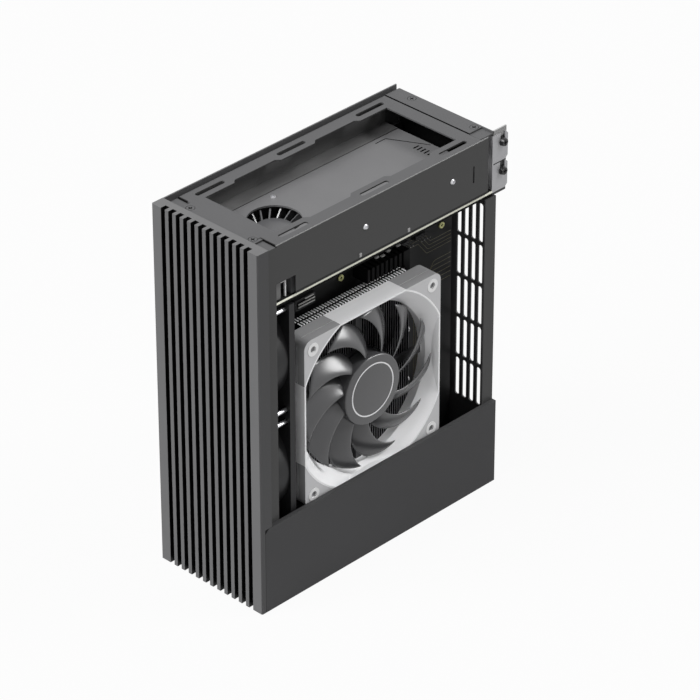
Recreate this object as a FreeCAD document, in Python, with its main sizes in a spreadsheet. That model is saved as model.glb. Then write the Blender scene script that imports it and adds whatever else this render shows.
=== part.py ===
import FreeCAD, Part
import math
import os
from types import SimpleNamespace

import Sketcher
from FreeCAD import Placement, Rotation, Vector

# Small-form computer case, shown open: the top cover and the right side cover are off.
# Frame: X to the open right side, Y to the rear, Z up, origin under the middle of the case.

DOCUMENT = FreeCAD.newDocument("mini_itx_case")

DIMENSIONS = (
    # case
    ("case_width", "90", "outside width over the side panels"),
    ("case_depth", "211", "front face to rear panel"),
    ("case_height", "257", "floor to the top of the front panel"),
    ("side_skin", "3", "thickness of a side panel"),
    ("skin_gap", "0.2", "gap between the chassis and a side panel"),
    ("top_drop", "2", "room for the top cover above the bay frame"),
    ("sheet_thk", "1", "chassis sheet"),
    ("plate_bevel", "0.6", "bevel round the side panel"),
    # finned front panel
    ("front_thk", "9.3", "front panel thickness"),
    ("groove_count", "12", "grooves between the fins"),
    ("groove_pitch", "6.4", "groove to groove"),
    ("groove_width", "3.5", "groove width"),
    ("groove_depth", "4.1", "groove depth"),
    ("air_slot_width", "2", "air slot in the groove floor"),
    ("air_slot_inset", "8", "air slots stop this far inside the fans"),
    ("frame_depth", "9.4", "depth of the front channel"),
    # front fans
    ("small_fan_gap", "0.8", "front fan to the side of the chassis"),
    ("small_fan_depth", "25", "front fan thickness"),
    ("small_hole_inset", "4.25", "front fan hole from the fan's sides"),
    ("small_fan_drop", "4.6", "upper front fan below the card"),
    ("small_duct_wall", "2.4", "front fan duct to the fan's sides"),
    ("small_barrel_wall", "1.5", "wall of the front fan duct"),
    ("small_flange", "4.5", "flange of a front fan"),
    ("small_hub", "15", "hub radius of a front fan"),
    ("small_blades", "7", "blades of a front fan"),
    ("fan_hole", "2.15", "radius of a front fan screw hole"),
    ("fan_screw", "1.9", "radius of a front fan screw"),
    ("fan_screw_head", "3.2", "head radius of a front fan screw"),
    # lower cover
    ("cover_height", "61", "height of the lower cover's right wall"),
    ("floor_thk", "2", "floor sheet"),
    ("lip_reach", "5.6", "reach of the lower cover over the front panel"),
    ("lip_depth", "1.2", "depth of that lap"),
    ("lip_corner", "3", "cut corner of the lap"),
    # expansion bay
    ("opening_in", "12.2", "bay opening in from the chassis side"),
    ("opening_front", "29.7", "front of the opening, from the front face"),
    ("opening_rear", "24.1", "rear of the opening, from the rear face"),
    ("bulge", "2.6", "the rim is this much narrower between its slots"),
    ("bulge_ramp", "3", "length of the slope beside a slot"),
    ("bulge_margin", "2.5", "wide rim past the end of a slot"),
    ("rim_slot_in", "6.3", "slots of the rim, in from the chassis side"),
    ("rim_slot_y", "39.5", "first slot, from the front face"),
    ("rim_slot_rear", "33.1", "last slot, from the rear face"),
    ("rim_slot_length", "24", "slot length"),
    ("rim_slot_width", "3.4", "slot width"),
    ("tab_in", "10.8", "front tab in from the chassis side"),
    ("tab_screw_in", "15.2", "screws of the bay frame, in from the chassis side"),
    ("tab_screw_y", "5.2", "front screws, behind the front panel"),
    ("wall_lift", "1.1", "lower edge of the bay's right wall over the card"),
    ("wall_reach", "6.2", "right wall of the bay past the rear end of the rim"),
    ("notch_length", "16.2", "notch in the bay's right wall"),
    ("notch_height", "13", "height of that notch"),
    ("hook_inset", "2.2", "folded hook behind the notch, inside the wall"),
    ("hook_plate", "6.6", "plate of the hook, along the case"),
    ("hook_gap", "3.6", "hook's far leg behind its plate"),
    ("hook_drop", "2.2", "hook below the notch's upper edge"),
    ("hook_lift", "0.4", "hook clear of the card"),
    ("ledge_drop", "18.3", "ledge over the riser, below the rim"),
    ("ledge_reach", "12.2", "ledge in from the chassis side"),
    ("skirt_drop", "16", "skirt below the ledge"),
    ("fold_radius", "0.7", "outside radius of the bay frame's folds"),
    ("wall_slot_in", "6.9", "upright slot of the right wall, from the rim's rear end"),
    ("wall_slot_drop", "21.4", "middle of that slot below the rim"),
    ("wall_slot_length", "12", "length of that slot"),
    ("wall_slot_width", "1.4", "width of that slot"),
    ("wall_screw_y", "94.6", "first right wall screw, from the front face"),
    ("wall_screw_rear", "39.8", "second right wall screw, from the rear face"),
    ("wall_screw_drop", "18.6", "right wall screws below the rim"),
    # rear panel
    ("rear_flange", "12.5", "top flange of the rear panel"),
    ("flange_gap", "1.4", "gap in front of the top flange"),
    ("flange_end_in", "11.8", "right end of the top flange, in from the chassis side"),
    ("rear_screw_y", "4.6", "rear screws, in from the rear face"),
    ("post_depth", "9.5", "right post of the rear panel"),
    ("post_drop", "2", "right post below the card"),
    ("vent_columns", "4", "vent slots side by side"),
    ("vent_rows", "5", "rows of vent slots"),
    ("vent_in", "29.9", "first vent column, in from the chassis side"),
    ("vent_pitch", "6.15", "column to column"),
    ("vent_width", "3.5", "vent slot width"),
    ("vent_length", "28", "vent slot length"),
    ("vent_row_pitch", "30.2", "row to row"),
    ("vent_drop", "12", "highest row of vents below the card"),
    ("shelf_in", "2.8", "slot shelf in from the chassis side"),
    ("shelf_reach", "11.5", "slot shelf behind the rear face"),
    # motherboard
    ("fan_room", "1", "processor fan to the lower cover"),
    ("tray_front", "0.5", "tray in front of the motherboard"),
    ("tray_drop", "7.6", "top of the tray below the card"),
    ("tray_foot", "10", "foot of the tray"),
    ("tray_window", "84", "opening of the tray behind the processor"),
    ("standoff_length", "6", "board standoff"),
    ("standoff_radius", "2.7", "board standoff radius"),
    ("board_size", "170", "motherboard height"),
    ("board_thk", "1.6", "circuit board thickness"),
    ("board_offset", "4.3", "motherboard below the middle of the space under the card"),
    ("board_front_gap", "2.2", "motherboard to the front fans"),
    ("board_rear_gap", "2.5", "motherboard to rear panel"),
    ("hole_edge", "6.35", "board holes from the top and bottom edges"),
    ("hole_rear", "10.16", "upper rear hole from the rear edge"),
    ("hole_rear_low", "33.02", "lower rear hole from the rear edge"),
    ("hole_front", "4.9", "front holes from the front edge"),
    ("hole_extra", "69.4", "extra hole from the front edge"),
    ("board_screw", "1.5", "board screw radius"),
    ("board_screw_head", "2.9", "board screw head radius"),
    ("board_screw_rise", "1.2", "board screw head height"),
    # processor and cooler
    ("cpu_front", "64.8", "processor centre from the front edge"),
    ("cpu_top_edge", "71.5", "processor centre below the top edge"),
    ("cpu_size", "37.5", "processor square"),
    ("cpu_lid", "30", "processor lid square"),
    ("cpu_base_thk", "1.6", "processor carrier thickness"),
    ("cpu_height", "4", "processor height over the board"),
    ("socket_size", "50", "socket frame square"),
    ("socket_thk", "2.2", "socket frame thickness"),
    ("base_half_y", "24", "half length of the cooler base"),
    ("base_half_z", "42", "half height of the cooler base"),
    ("base_thk", "4.6", "cooler base thickness"),
    ("pipe_radius", "1.8", "heat pipe radius"),
    ("pipe_fit", "0.03", "solder gap round a heat pipe"),
    ("pipe_bend", "3.6", "heat pipe bend radius"),
    ("pipe_count", "5", "heat pipes"),
    ("pipe_pitch", "18.4", "heat pipe to heat pipe"),
    ("pipe_drop", "5.5", "middle of the cooler base below the processor's"),
    ("fin_count", "48", "cooler fins"),
    ("fin_pitch", "2", "fin to fin"),
    ("fin_thk", "0.4", "fin thickness"),
    ("fin_depth", "9.4", "fin depth"),
    ("fin_height", "118", "fin height, down from the top of the fan"),
    ("fin_strip", "2.6", "folded strip that joins the fins"),
    ("fin_strip_thk", "0.5", "thickness of that strip"),
    # processor fan
    ("fan_size", "120", "processor fan square"),
    ("fan_depth", "15", "processor fan thickness"),
    ("fan_holes", "105", "processor fan hole spacing"),
    ("fan_duct", "56", "radius of the fan duct"),
    ("fan_ring", "66.5", "outside of the ring that flares to the face"),
    ("fan_flare", "65.3", "flare of the duct at the face"),
    ("fan_throat", "6", "depth where the flare begins"),
    ("fan_edge", "1.2", "wall left at the sides of the fan"),
    ("fan_edge_span", "28.6", "half length of that wall"),
    ("fan_round", "6", "rounded corner"),
    ("pad_gap", "0.05", "joint between pad and frame"),
    ("pad_seam", "8.5", "seam of the corner pads above the back of the fan"),
    ("pad_seam_width", "0.5", "seam width"),
    ("pad_seam_depth", "0.4", "seam depth"),
    ("bush_radius", "4.5", "corner bush radius"),
    ("bush_bore", "2.25", "corner bush bore"),
    ("bush_proud", "0.3", "corner bush stands proud"),
    ("corner_screw", "2.2", "corner screw radius"),
    ("corner_screw_sink", "1", "corner screw below the face"),
    ("fan_hub", "24", "fan hub radius"),
    ("fan_blades", "11", "fan blades"),
    ("fan_turn", "17", "rest turn of the processor fan's wheel, degrees"),
    ("hub_wall", "1.5", "wall of a fan hub"),
    ("tip_gap", "0.9", "blade tip clearance"),
    ("strut_width", "5", "strut behind a fan"),
    ("strut_depth", "2.4", "strut thickness"),
    ("blade_thk", "1.3", "blade thickness"),
    ("blade_lift", "1.6", "blades clear of the struts and the face"),
    ("shaft_radius", "1.5", "fan shaft radius"),
    ("shaft_clearance", "0.05", "running clearance of a shaft"),
    ("bearing_radius", "4", "bearing tube radius"),
    ("hub_sink", "0.4", "hub below the front face of its fan"),
    # board parts
    ("sink_front", "80.5", "power stage cooler, front end from the board's front edge"),
    ("sink_rear", "118", "power stage cooler, rear end from that edge"),
    ("sink_leg", "5", "length of its lower leg"),
    ("sink_band", "9.5", "height of its upper band"),
    ("sink_height", "22", "height of its lower leg and band"),
    ("sink_depth", "13", "height over the board"),
    ("sink_base", "4", "solid part under the fins"),
    ("sink_groove", "1.8", "groove between fins"),
    ("sink_pitch", "4", "fin pitch"),
    ("sink_edge", "1", "cooler below the top edge of the board"),
    ("socket_front", "23.5", "power socket from the board's front edge"),
    ("socket_length", "17", "power socket length"),
    ("socket_height", "7.5", "power socket height"),
    ("socket_rise", "7", "power socket over the board"),
    ("memory_front", "10.5", "memory from the board's front edge"),
    ("memory_length", "133", "memory module length"),
    ("memory_rise", "31", "memory module over the board"),
    ("memory_thk", "3.2", "memory module thickness"),
    ("memory_slot_thk", "6.4", "memory slot width"),
    ("memory_slot_rise", "8", "memory slot over the board"),
    ("memory_sink", "5", "module inside its slot"),
    ("memory_low", "15", "first memory module above the lower board edge"),
    ("memory_pitch", "10", "module to module"),
    # graphics card
    ("card_drop", "42.4", "underside of the card below the bay frame"),
    ("card_near_gap", "1.5", "right edge of the card to the chassis side"),
    ("card_far_gap", "13.2", "end of the edge contact to the chassis side"),
    ("card_tongue", "7", "edge contact"),
    ("tongue_gap", "6", "edge contact in front of the bracket"),
    ("tongue_length", "85", "edge contact length"),
    ("card_front", "20", "front end of the card, from the front face"),
    ("shroud_height", "26.4", "shroud top over the underside of the card"),
    ("shroud_wall", "1.2", "shroud wall"),
    ("shroud_near_in", "1.8", "shroud in from the card's right edge"),
    ("shroud_far_in", "2.6", "shroud in from the end of the edge contact"),
    ("shroud_front", "34", "front of the shroud, from the front face"),
    ("shroud_rear_gap", "15.5", "shroud to bracket"),
    ("inlet_radius", "17.2", "blower inlet"),
    ("inlet_in", "25.2", "blower axis from the shroud's left side"),
    ("inlet_y", "59.5", "blower axis from the front face"),
    ("louvre_count", "5", "louvres of the shroud"),
    ("louvre_in", "24", "first louvre from the shroud's left side"),
    ("louvre_rear", "12", "louvres from the shroud's rear end"),
    ("louvre_pitch", "3", "louvre to louvre"),
    ("louvre_width", "1.3", "louvre width"),
    ("louvre_length", "5", "louvre length"),
    ("crease_in", "3.2", "crease from the shroud's left side"),
    ("crease_rear", "24", "crease from the shroud's rear end"),
    ("crease_run", "9", "straight part of the crease"),
    ("crease_reach", "26", "slanted part of the crease, across the case"),
    ("crease_rise", "14", "slanted part of the crease, along the case"),
    ("crease_width", "0.7", "crease width"),
    ("crease_depth", "0.5", "crease depth"),
    ("blower_radius", "23", "blower wheel radius"),
    ("blower_hub", "12.5", "blower hub radius"),
    ("blower_blades", "17", "blower blades"),
    ("blower_blade_thk", "0.9", "blower blade thickness"),
    ("blower_lift", "3", "blower wheel over the card"),
    ("blower_disc", "1.2", "disc under the blades"),
    ("blower_hub_sink", "6", "hub below the shroud top"),
    ("blower_gap", "1.2", "blades below the shroud roof"),
    ("motor_radius", "9", "blower motor radius"),
    ("motor_height", "2.4", "blower motor plate"),
    ("cooler_front", "26.5", "card heat sink behind the blower's axis"),
    ("cooler_gap", "6", "card heat sink inside the rear end of the shroud"),
    ("cooler_inset", "1.5", "heat sink inside the shroud"),
    ("cooler_base", "4", "heat sink base"),
    ("cooler_groove", "3.4", "gap between heat sink fins"),
    ("cooler_pitch", "5", "heat sink fin pitch"),
    ("shroud_screw_in", "5.4", "shroud screw from the shroud's side"),
    ("shroud_screw_y", "18.5", "shroud screw behind the blower's axis"),
    ("shroud_screw", "1.9", "shroud screw head radius"),
    ("shroud_screw_rise", "0.8", "shroud screw head height"),
    ("slot_pitch", "20.32", "expansion slot spacing"),
    ("bracket_thk", "1", "bracket sheet"),
    ("bracket_in", "2.3", "left end of the bracket in from the chassis side"),
    ("bracket_slit", "0.9", "slit between the two tabs"),
    ("tab_reach", "12", "tabs behind the rear face"),
    ("tab_chamfer", "2", "cut corner of a tab"),
    ("tab_notch", "4.2", "width of a tab notch"),
    ("slot_screw_y", "7.2", "slot screws behind the rear face"),
    ("slot_screw_z", "13", "slot screws above the foot of their tab"),
    ("slot_screw_head", "3", "slot screw head radius"),
    ("slot_screw_rise", "2.4", "slot screw head height"),
    ("screw_radius", "1.4", "case screw radius"),
    ("screw_head", "2.9", "case screw head radius"),
    ("screw_fit", "0.06", "clearance of a screw in its hole"),
    ("wall_screw_head", "2", "right wall screw head radius"),
    ("wall_screw_rise", "0.9", "right wall screw head height"),
    # riser
    ("riser_slot_thk", "8.4", "riser slot height"),
    ("riser_slot_depth", "13", "riser slot depth"),
    ("riser_gap", "0.3", "riser slot to card"),
    ("riser_fit", "0.2", "edge contact in its slot"),
    ("riser_drop", "62.6", "lower edge of the riser card below the card"),
    ("riser_front", "13", "riser card in front of the edge contact"),
    ("riser_end", "3", "slot wall past the edge contact"),
    # power supply
    ("supply_gap", "1.1", "power supply to the left panel"),
    ("supply_height", "81.5", "power supply height"),
    ("supply_length", "150", "power supply length"),
    ("supply_margin", "4", "rear panel round the power supply"),
    ("inlet_width", "27", "mains inlet recess width"),
    ("inlet_height", "20", "mains inlet recess height"),
    ("inlet_depth", "8", "mains inlet recess depth"),
    ("inlet_low", "8", "mains inlet above the supply's underside"),
    ("supply_vents", "8", "vent slots of the supply"),
    ("supply_vent_low", "36", "lowest vent slot of the supply"),
    ("supply_vent_pitch", "4.6", "vent slot to vent slot"),
    ("supply_vent_width", "2.2", "vent slot of the supply"),
    ("supply_vent_length", "28", "length of those slots"),
    ("supply_vent_depth", "1.5", "depth of those slots"),
)


def fill_sheet():
    sheet = DOCUMENT.addObject("Spreadsheet::Sheet", "dims")
    for row, (alias, number, note) in enumerate(DIMENSIONS, start=1):
        sheet.set(f"A{row}", note)
        sheet.set(f"B{row}", number)
        sheet.setAlias(f"B{row}", alias)
    DOCUMENT.recompute()
    return sheet


class Size:
    """A length kept both as a sheet expression and as its present value."""

    def __init__(self, text, value):
        self.text = text
        self.value = value

    def joined(self, sign, other, value):
        return Size(f"({self.text} {sign} {other.text})", value)

    def __add__(self, other):
        other = size(other)
        return self.joined("+", other, self.value + other.value)

    def __sub__(self, other):
        other = size(other)
        return self.joined("-", other, self.value - other.value)

    def __mul__(self, other):
        other = size(other)
        return self.joined("*", other, self.value * other.value)

    def __truediv__(self, other):
        other = size(other)
        return self.joined("/", other, self.value / other.value)

    def __neg__(self):
        return Size(f"(0 - {self.text})", -self.value)


def size(item):
    return item if isinstance(item, Size) else Size(f"({float(item)})", float(item))


SHEET = fill_sheet()
d = SimpleNamespace(**{
    alias: Size("dims." + alias, float(SHEET.get(alias))) for alias, number, note in DIMENSIONS
})
ZERO = size(0)
FULL_TURN = 360.0
BLADE_STATIONS = 3
HALF_TURN = 180.0

# Planes and lines that several pieces share.
half = d.case_width / 2
front_y = -d.case_depth / 2
rear_y = d.case_depth / 2
rear_in = rear_y - d.sheet_thk
slab_back = front_y + d.front_thk
frame_back = slab_back + d.frame_depth
web_back = slab_back + d.sheet_thk
wall_x = half - d.side_skin - d.skin_gap
wall_in = wall_x - d.sheet_thk
rim_z = d.case_height - d.top_drop
rim_under = rim_z - d.sheet_thk
lap_under = rim_under - d.sheet_thk
flange_front = rear_y - d.rear_flange
rim_back = flange_front - d.flange_gap
wall_end = rim_back + d.wall_reach
small_fan_back = web_back + d.small_fan_depth
rim_slot_x = wall_x - d.rim_slot_in
opening_half = wall_x - d.opening_in
tab_half = wall_x - d.tab_in
tab_screw_x = wall_x - d.tab_screw_in
ledge_in = wall_x - d.ledge_reach
ledge_z = rim_z - d.ledge_drop
wall_screw_z = rim_z - d.wall_screw_drop
flange_end = wall_x - d.flange_end_in
shelf_x = wall_x - d.shelf_in
bracket_far = -(wall_x - d.bracket_in)

card_z = rim_z - d.card_drop
card_top = card_z + d.board_thk
wall_low = card_top + d.wall_lift
card_near = wall_x - d.card_near_gap
card_far = -(wall_x - d.card_far_gap)
bracket_front = rear_in - d.bracket_thk
tongue_rear = bracket_front - d.tongue_gap
tongue_front = tongue_rear - d.tongue_length
shroud_top = card_z + d.shroud_height
shroud_roof = shroud_top - d.shroud_wall
shroud_near = card_near - d.shroud_near_in
shroud_far = card_far + d.shroud_far_in
shroud_rear = bracket_front - d.shroud_rear_gap
blower_x = shroud_far + d.inlet_in
blower_y = front_y + d.inlet_y
tab_low = card_z - d.bracket_slit / 2
tab_top = tab_low + d.slot_pitch * 2 - d.bracket_slit
post_top = card_z - d.post_drop

small_fan_size = (wall_in - d.small_fan_gap) * 2
small_fan_holes = small_fan_size - d.small_hole_inset * 2
small_barrel = small_fan_size / 2 - d.small_duct_wall
small_fan_low = card_z - d.small_fan_drop - small_fan_size * 2
small_fan_centres = (small_fan_low + small_fan_size / 2, small_fan_low + small_fan_size * 1.5)

fan_front = half - d.side_skin - d.fan_room
fan_back = fan_front - d.fan_depth
base_top = fan_back - d.fin_depth
cpu_top = base_top - d.base_thk
board_face = cpu_top - d.cpu_height
board_back = board_face - d.board_thk
tray_face = board_back - d.standoff_length
tray_x = tray_face - d.sheet_thk
tray_top = card_z - d.tray_drop
board_rear = rear_in - d.board_rear_gap
board_front = small_fan_back + d.board_front_gap
board_low = d.floor_thk + (card_z - d.floor_thk - d.board_size) / 2 - d.board_offset
board_top = board_low + d.board_size
cpu_y = board_front + d.cpu_front
cpu_z = board_top - d.cpu_top_edge
pipe_x = cpu_top + d.base_thk / 2
fin_first = cpu_y - d.fin_pitch * (d.fin_count - 1) / 2 - d.fin_thk / 2
fin_last = cpu_y + d.fin_pitch * (d.fin_count - 1) / 2 + d.fin_thk / 2
supply_right = tray_x
supply_left = -(half - d.side_skin) + d.supply_gap

board_holes = (
    (board_rear - d.hole_rear, board_top - d.hole_edge),
    (board_rear - d.hole_rear_low, board_low + d.hole_edge),
    (board_front + d.hole_front, board_top - d.hole_edge),
    (board_front + d.hole_front, board_low + d.hole_edge),
)
board_extra_hole = (board_front + d.hole_extra, board_top - d.hole_edge)


# Sketch outlines. Across X they are drawn in (Y, Z), across Y in (X, Z), across Z in (X, Y).

def pin(sketch, geometry, point, place):
    for kind, length in zip(("DistanceX", "DistanceY"), place):
        length = size(length)
        index = sketch.addConstraint(Sketcher.Constraint(kind, -1, 1, geometry, point, length.value))
        sketch.setExpression(f"Constraints[{index}]", length.text)


def polygon(*corners):
    def draw(sketch):
        first = sketch.GeometryCount
        count = len(corners)
        points = [Vector(size(a).value, size(b).value, 0) for a, b in corners]
        for i in range(count):
            sketch.addGeometry(Part.LineSegment(points[i], points[(i + 1) % count]), False)
        for i in range(count):
            following = first + (i + 1) % count
            sketch.addConstraint(Sketcher.Constraint("Coincident", first + i, 2, following, 1))
        for i in range(count):
            pin(sketch, first + i, 1, corners[i])
    return draw


def rectangle(a0, b0, a1, b1):
    return polygon((a0, b0), (a1, b0), (a1, b1), (a0, b1))


def square(a, b, side):
    return rectangle(a - side / 2, b - side / 2, a + side / 2, b + side / 2)


def disc(a, b, radius):
    def draw(sketch):
        centre = Vector(size(a).value, size(b).value, 0)
        geometry = sketch.addGeometry(Part.Circle(centre, Vector(0, 0, 1), radius.value), False)
        pin(sketch, geometry, 3, (a, b))
        index = sketch.addConstraint(Sketcher.Constraint("Radius", geometry, radius.value))
        sketch.setExpression(f"Constraints[{index}]", radius.text)
    return draw


def obround(a, b, length, width, upright):
    """A slot with round ends about (a, b), its length along the second axis if upright."""
    reach = (length - width) / 2
    radius = width / 2
    low, high = ((a, b - reach), (a, b + reach)) if upright else ((a - reach, b), (a + reach, b))
    turn = math.pi / 2 if upright else 0.0

    def draw(sketch):
        first = sketch.GeometryCount
        along = Vector(math.cos(turn), math.sin(turn), 0)
        side = Vector(-math.sin(turn), math.cos(turn), 0) * radius.value
        start = Vector(size(low[0]).value, size(low[1]).value, 0)
        end = Vector(size(high[0]).value, size(high[1]).value, 0)
        back_half = (turn + math.pi / 2, turn + 3 * math.pi / 2)
        front_half = (turn - math.pi / 2, turn + math.pi / 2)
        for centre, (begin, finish) in ((start, back_half), (end, front_half)):
            circle = Part.Circle(centre, Vector(0, 0, 1), radius.value)
            sketch.addGeometry(Part.ArcOfCircle(circle, begin, finish), False)
        sketch.addGeometry(Part.LineSegment(start - side, end - side), False)
        sketch.addGeometry(Part.LineSegment(end + side, start + side), False)
        back_arc, front_arc, lower, upper = range(first, first + 4)
        for pair in ((back_arc, lower), (lower, front_arc), (front_arc, upper), (upper, back_arc)):
            sketch.addConstraint(Sketcher.Constraint("Tangent", pair[0], 2, pair[1], 1))
        pin(sketch, back_arc, 3, low)
        pin(sketch, front_arc, 3, high)
        index = sketch.addConstraint(Sketcher.Constraint("Radius", back_arc, radius.value))
        sketch.setExpression(f"Constraints[{index}]", radius.text)
        sketch.addConstraint(Sketcher.Constraint("Equal", back_arc, front_arc))
    return draw


# Bodies and their features.

PLANES = {"X": ("YZ_Plane", 1), "Y": ("XZ_Plane", -1), "Z": ("XY_Plane", 1)}
PIECES = []


def piece(label):
    body = DOCUMENT.addObject("PartDesign::Body", label)
    body.Label = label
    body.AllowCompound = True
    PIECES.append(body)
    return body


def origin_plane(body, role):
    return next(feature for feature in body.Origin.OriginFeatures if feature.Role == role)


def sketch_on(body, name, axis, height):
    role, sign = PLANES[axis]
    sketch = body.newObject("Sketcher::SketchObject", name + "_sketch")
    sketch.AttachmentSupport = [(origin_plane(body, role), "")]
    sketch.MapMode = "FlatFace"
    offset = height if sign > 0 else -height
    sketch.setExpression("AttachmentOffset.Base.z", offset.text)
    return sketch


def prism(body, name, axis, low, high, outlines, cut=False):
    """Pad the outlines, or pocket them, between two planes across an axis."""
    low = size(low)
    high = size(high)
    sign = PLANES[axis][1]
    sketch = sketch_on(body, name, axis, high if cut == (sign > 0) else low)
    for outline in outlines:
        outline(sketch)
    feature = body.newObject("PartDesign::Pocket" if cut else "PartDesign::Pad", name)
    feature.Profile = sketch
    feature.setExpression("Length", (high - low).text)
    return feature


def pad(body, name, axis, low, high, *outlines):
    return prism(body, name, axis, low, high, outlines)


def pocket(body, name, axis, low, high, *outlines):
    return prism(body, name, axis, low, high, outlines, cut=True)


def row(body, name, features, axis_name, spacing, count, backwards=False):
    """Repeat features along an axis of the first one's sketch."""
    pattern = body.newObject("PartDesign::LinearPattern", name)
    pattern.Originals = features
    pattern.Direction = (features[0].Profile[0], [axis_name])
    pattern.Mode = "Spacing"
    pattern.setExpression("Offset", spacing.text)
    pattern.setExpression("Occurrences", count.text)
    pattern.Reversed = backwards
    body.Tip = pattern
    return pattern


def dress(body, name, kind, chosen, length):
    """Fillet or chamfer the edges of the present tip that a test picks."""
    DOCUMENT.recompute()
    tip = body.Tip
    names = [f"Edge{i}" for i, edge in enumerate(tip.Shape.Edges, start=1) if chosen(edge)]
    feature = body.newObject("PartDesign::" + kind, name)
    feature.Base = (tip, names)
    feature.setExpression("Radius" if kind == "Fillet" else "Size", length.text)
    return feature


def both_sides(length):
    return (-length, length)


def grid(centre_a, centre_b, spacing):
    """The four corners of a square hole pattern."""
    return [
        (centre_a + sign_a, centre_b + sign_b)
        for sign_a in both_sides(spacing / 2)
        for sign_b in both_sides(spacing / 2)
    ]


def plus_sign(a, b, reach, width):
    """Four struts that cross at (a, b)."""
    w = width / 2
    return polygon(
        (a - reach, b - w), (a - w, b - w), (a - w, b - reach), (a + w, b - reach),
        (a + w, b - w), (a + reach, b - w), (a + reach, b + w), (a + w, b + w),
        (a + w, b + reach), (a - w, b + reach), (a - w, b + w), (a - reach, b + w),
    )


# Chassis and panels.

def front_panel():
    body = piece("front_panel")
    pad(body, "slab", "Z", ZERO, d.case_height, rectangle(-half, front_y, half, slab_back))
    first = -(d.groove_pitch * (d.groove_count - 1) + d.groove_width) / 2
    floor_y = front_y + d.groove_depth
    groove = pocket(body, "groove", "Z", ZERO, d.case_height,
                    rectangle(first, front_y, first + d.groove_width, floor_y))
    slot_x = first + (d.groove_width - d.air_slot_width) / 2
    air_low = small_fan_low + d.air_slot_inset
    air_high = small_fan_low + small_fan_size * 2 - d.air_slot_inset
    air = pocket(body, "air_slot", "Z", air_low, air_high,
                 rectangle(slot_x, front_y, slot_x + d.air_slot_width, slab_back))
    row(body, "fins", [groove, air], "H_Axis", d.groove_pitch, d.groove_count)
    dress(body, "bevel", "Chamfer", front_corner, d.plate_bevel)
    pocket(body, "lap", "Z", ZERO, d.cover_height + d.skin_gap,
           rectangle(half - d.lip_depth, slab_back - d.lip_reach - d.skin_gap, half, slab_back))


def front_corner(edge):
    """The two upright outer edges of the front panel's face."""
    box = edge.BoundBox
    thin = d.plate_bevel.value / 2
    upright = box.ZLength > d.case_height.value / 2
    return upright and abs(box.YMax - front_y.value) < thin and abs(abs(box.Center.x) - half.value) < thin


def front_frame():
    body = piece("front_frame")
    t = d.sheet_thk
    pad(body, "channel", "Z", d.floor_thk, rim_under, polygon(
        (-wall_x, slab_back), (wall_x, slab_back), (wall_x, frame_back), (wall_in, frame_back),
        (wall_in, web_back), (-wall_in, web_back), (-wall_in, frame_back), (-wall_x, frame_back)))
    for name, low in (("top_flange", lap_under), ("foot_flange", d.floor_thk)):
        pad(body, name, "Z", low, low + t, rectangle(-wall_x, slab_back, wall_x, frame_back))
    pocket(body, "fan_windows", "Y", slab_back, web_back,
           *[disc(ZERO, z, small_barrel) for z in small_fan_centres])
    pocket(body, "fan_screw_holes", "Y", slab_back, web_back, *[
        disc(x, z, d.fan_screw + d.screw_fit)
        for centre in small_fan_centres for x, z in grid(ZERO, centre, small_fan_holes)])
    pocket(body, "tab_screw_holes", "Z", lap_under, rim_under, *[
        disc(x, slab_back + d.tab_screw_y, d.screw_radius + d.screw_fit)
        for x in both_sides(tab_screw_x)])


def rim_slot_centres():
    first = front_y + d.rim_slot_y
    last = rear_y - d.rim_slot_rear
    return (first, (first + last) / 2, last)


def bay_opening():
    """The opening's outline: the rim is wide beside its slots and narrower between them."""
    wide = opening_half
    narrow = opening_half + d.bulge
    reach = d.rim_slot_length / 2 + d.bulge_margin
    steps = []
    centres = rim_slot_centres()
    for before, after in zip(centres[:-1], centres[1:]):
        leave = before + reach
        arrive = after - reach
        steps += [(wide, leave), (narrow, leave + d.bulge_ramp)]
        steps += [(narrow, arrive - d.bulge_ramp), (wide, arrive)]
    opening_front = front_y + d.opening_front
    opening_rear = rear_y - d.opening_rear
    right = [(wide, opening_front)] + steps + [(wide, opening_rear)]
    left = [(-x, y) for x, y in reversed(right)]
    return polygon(*right, *left)


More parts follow.
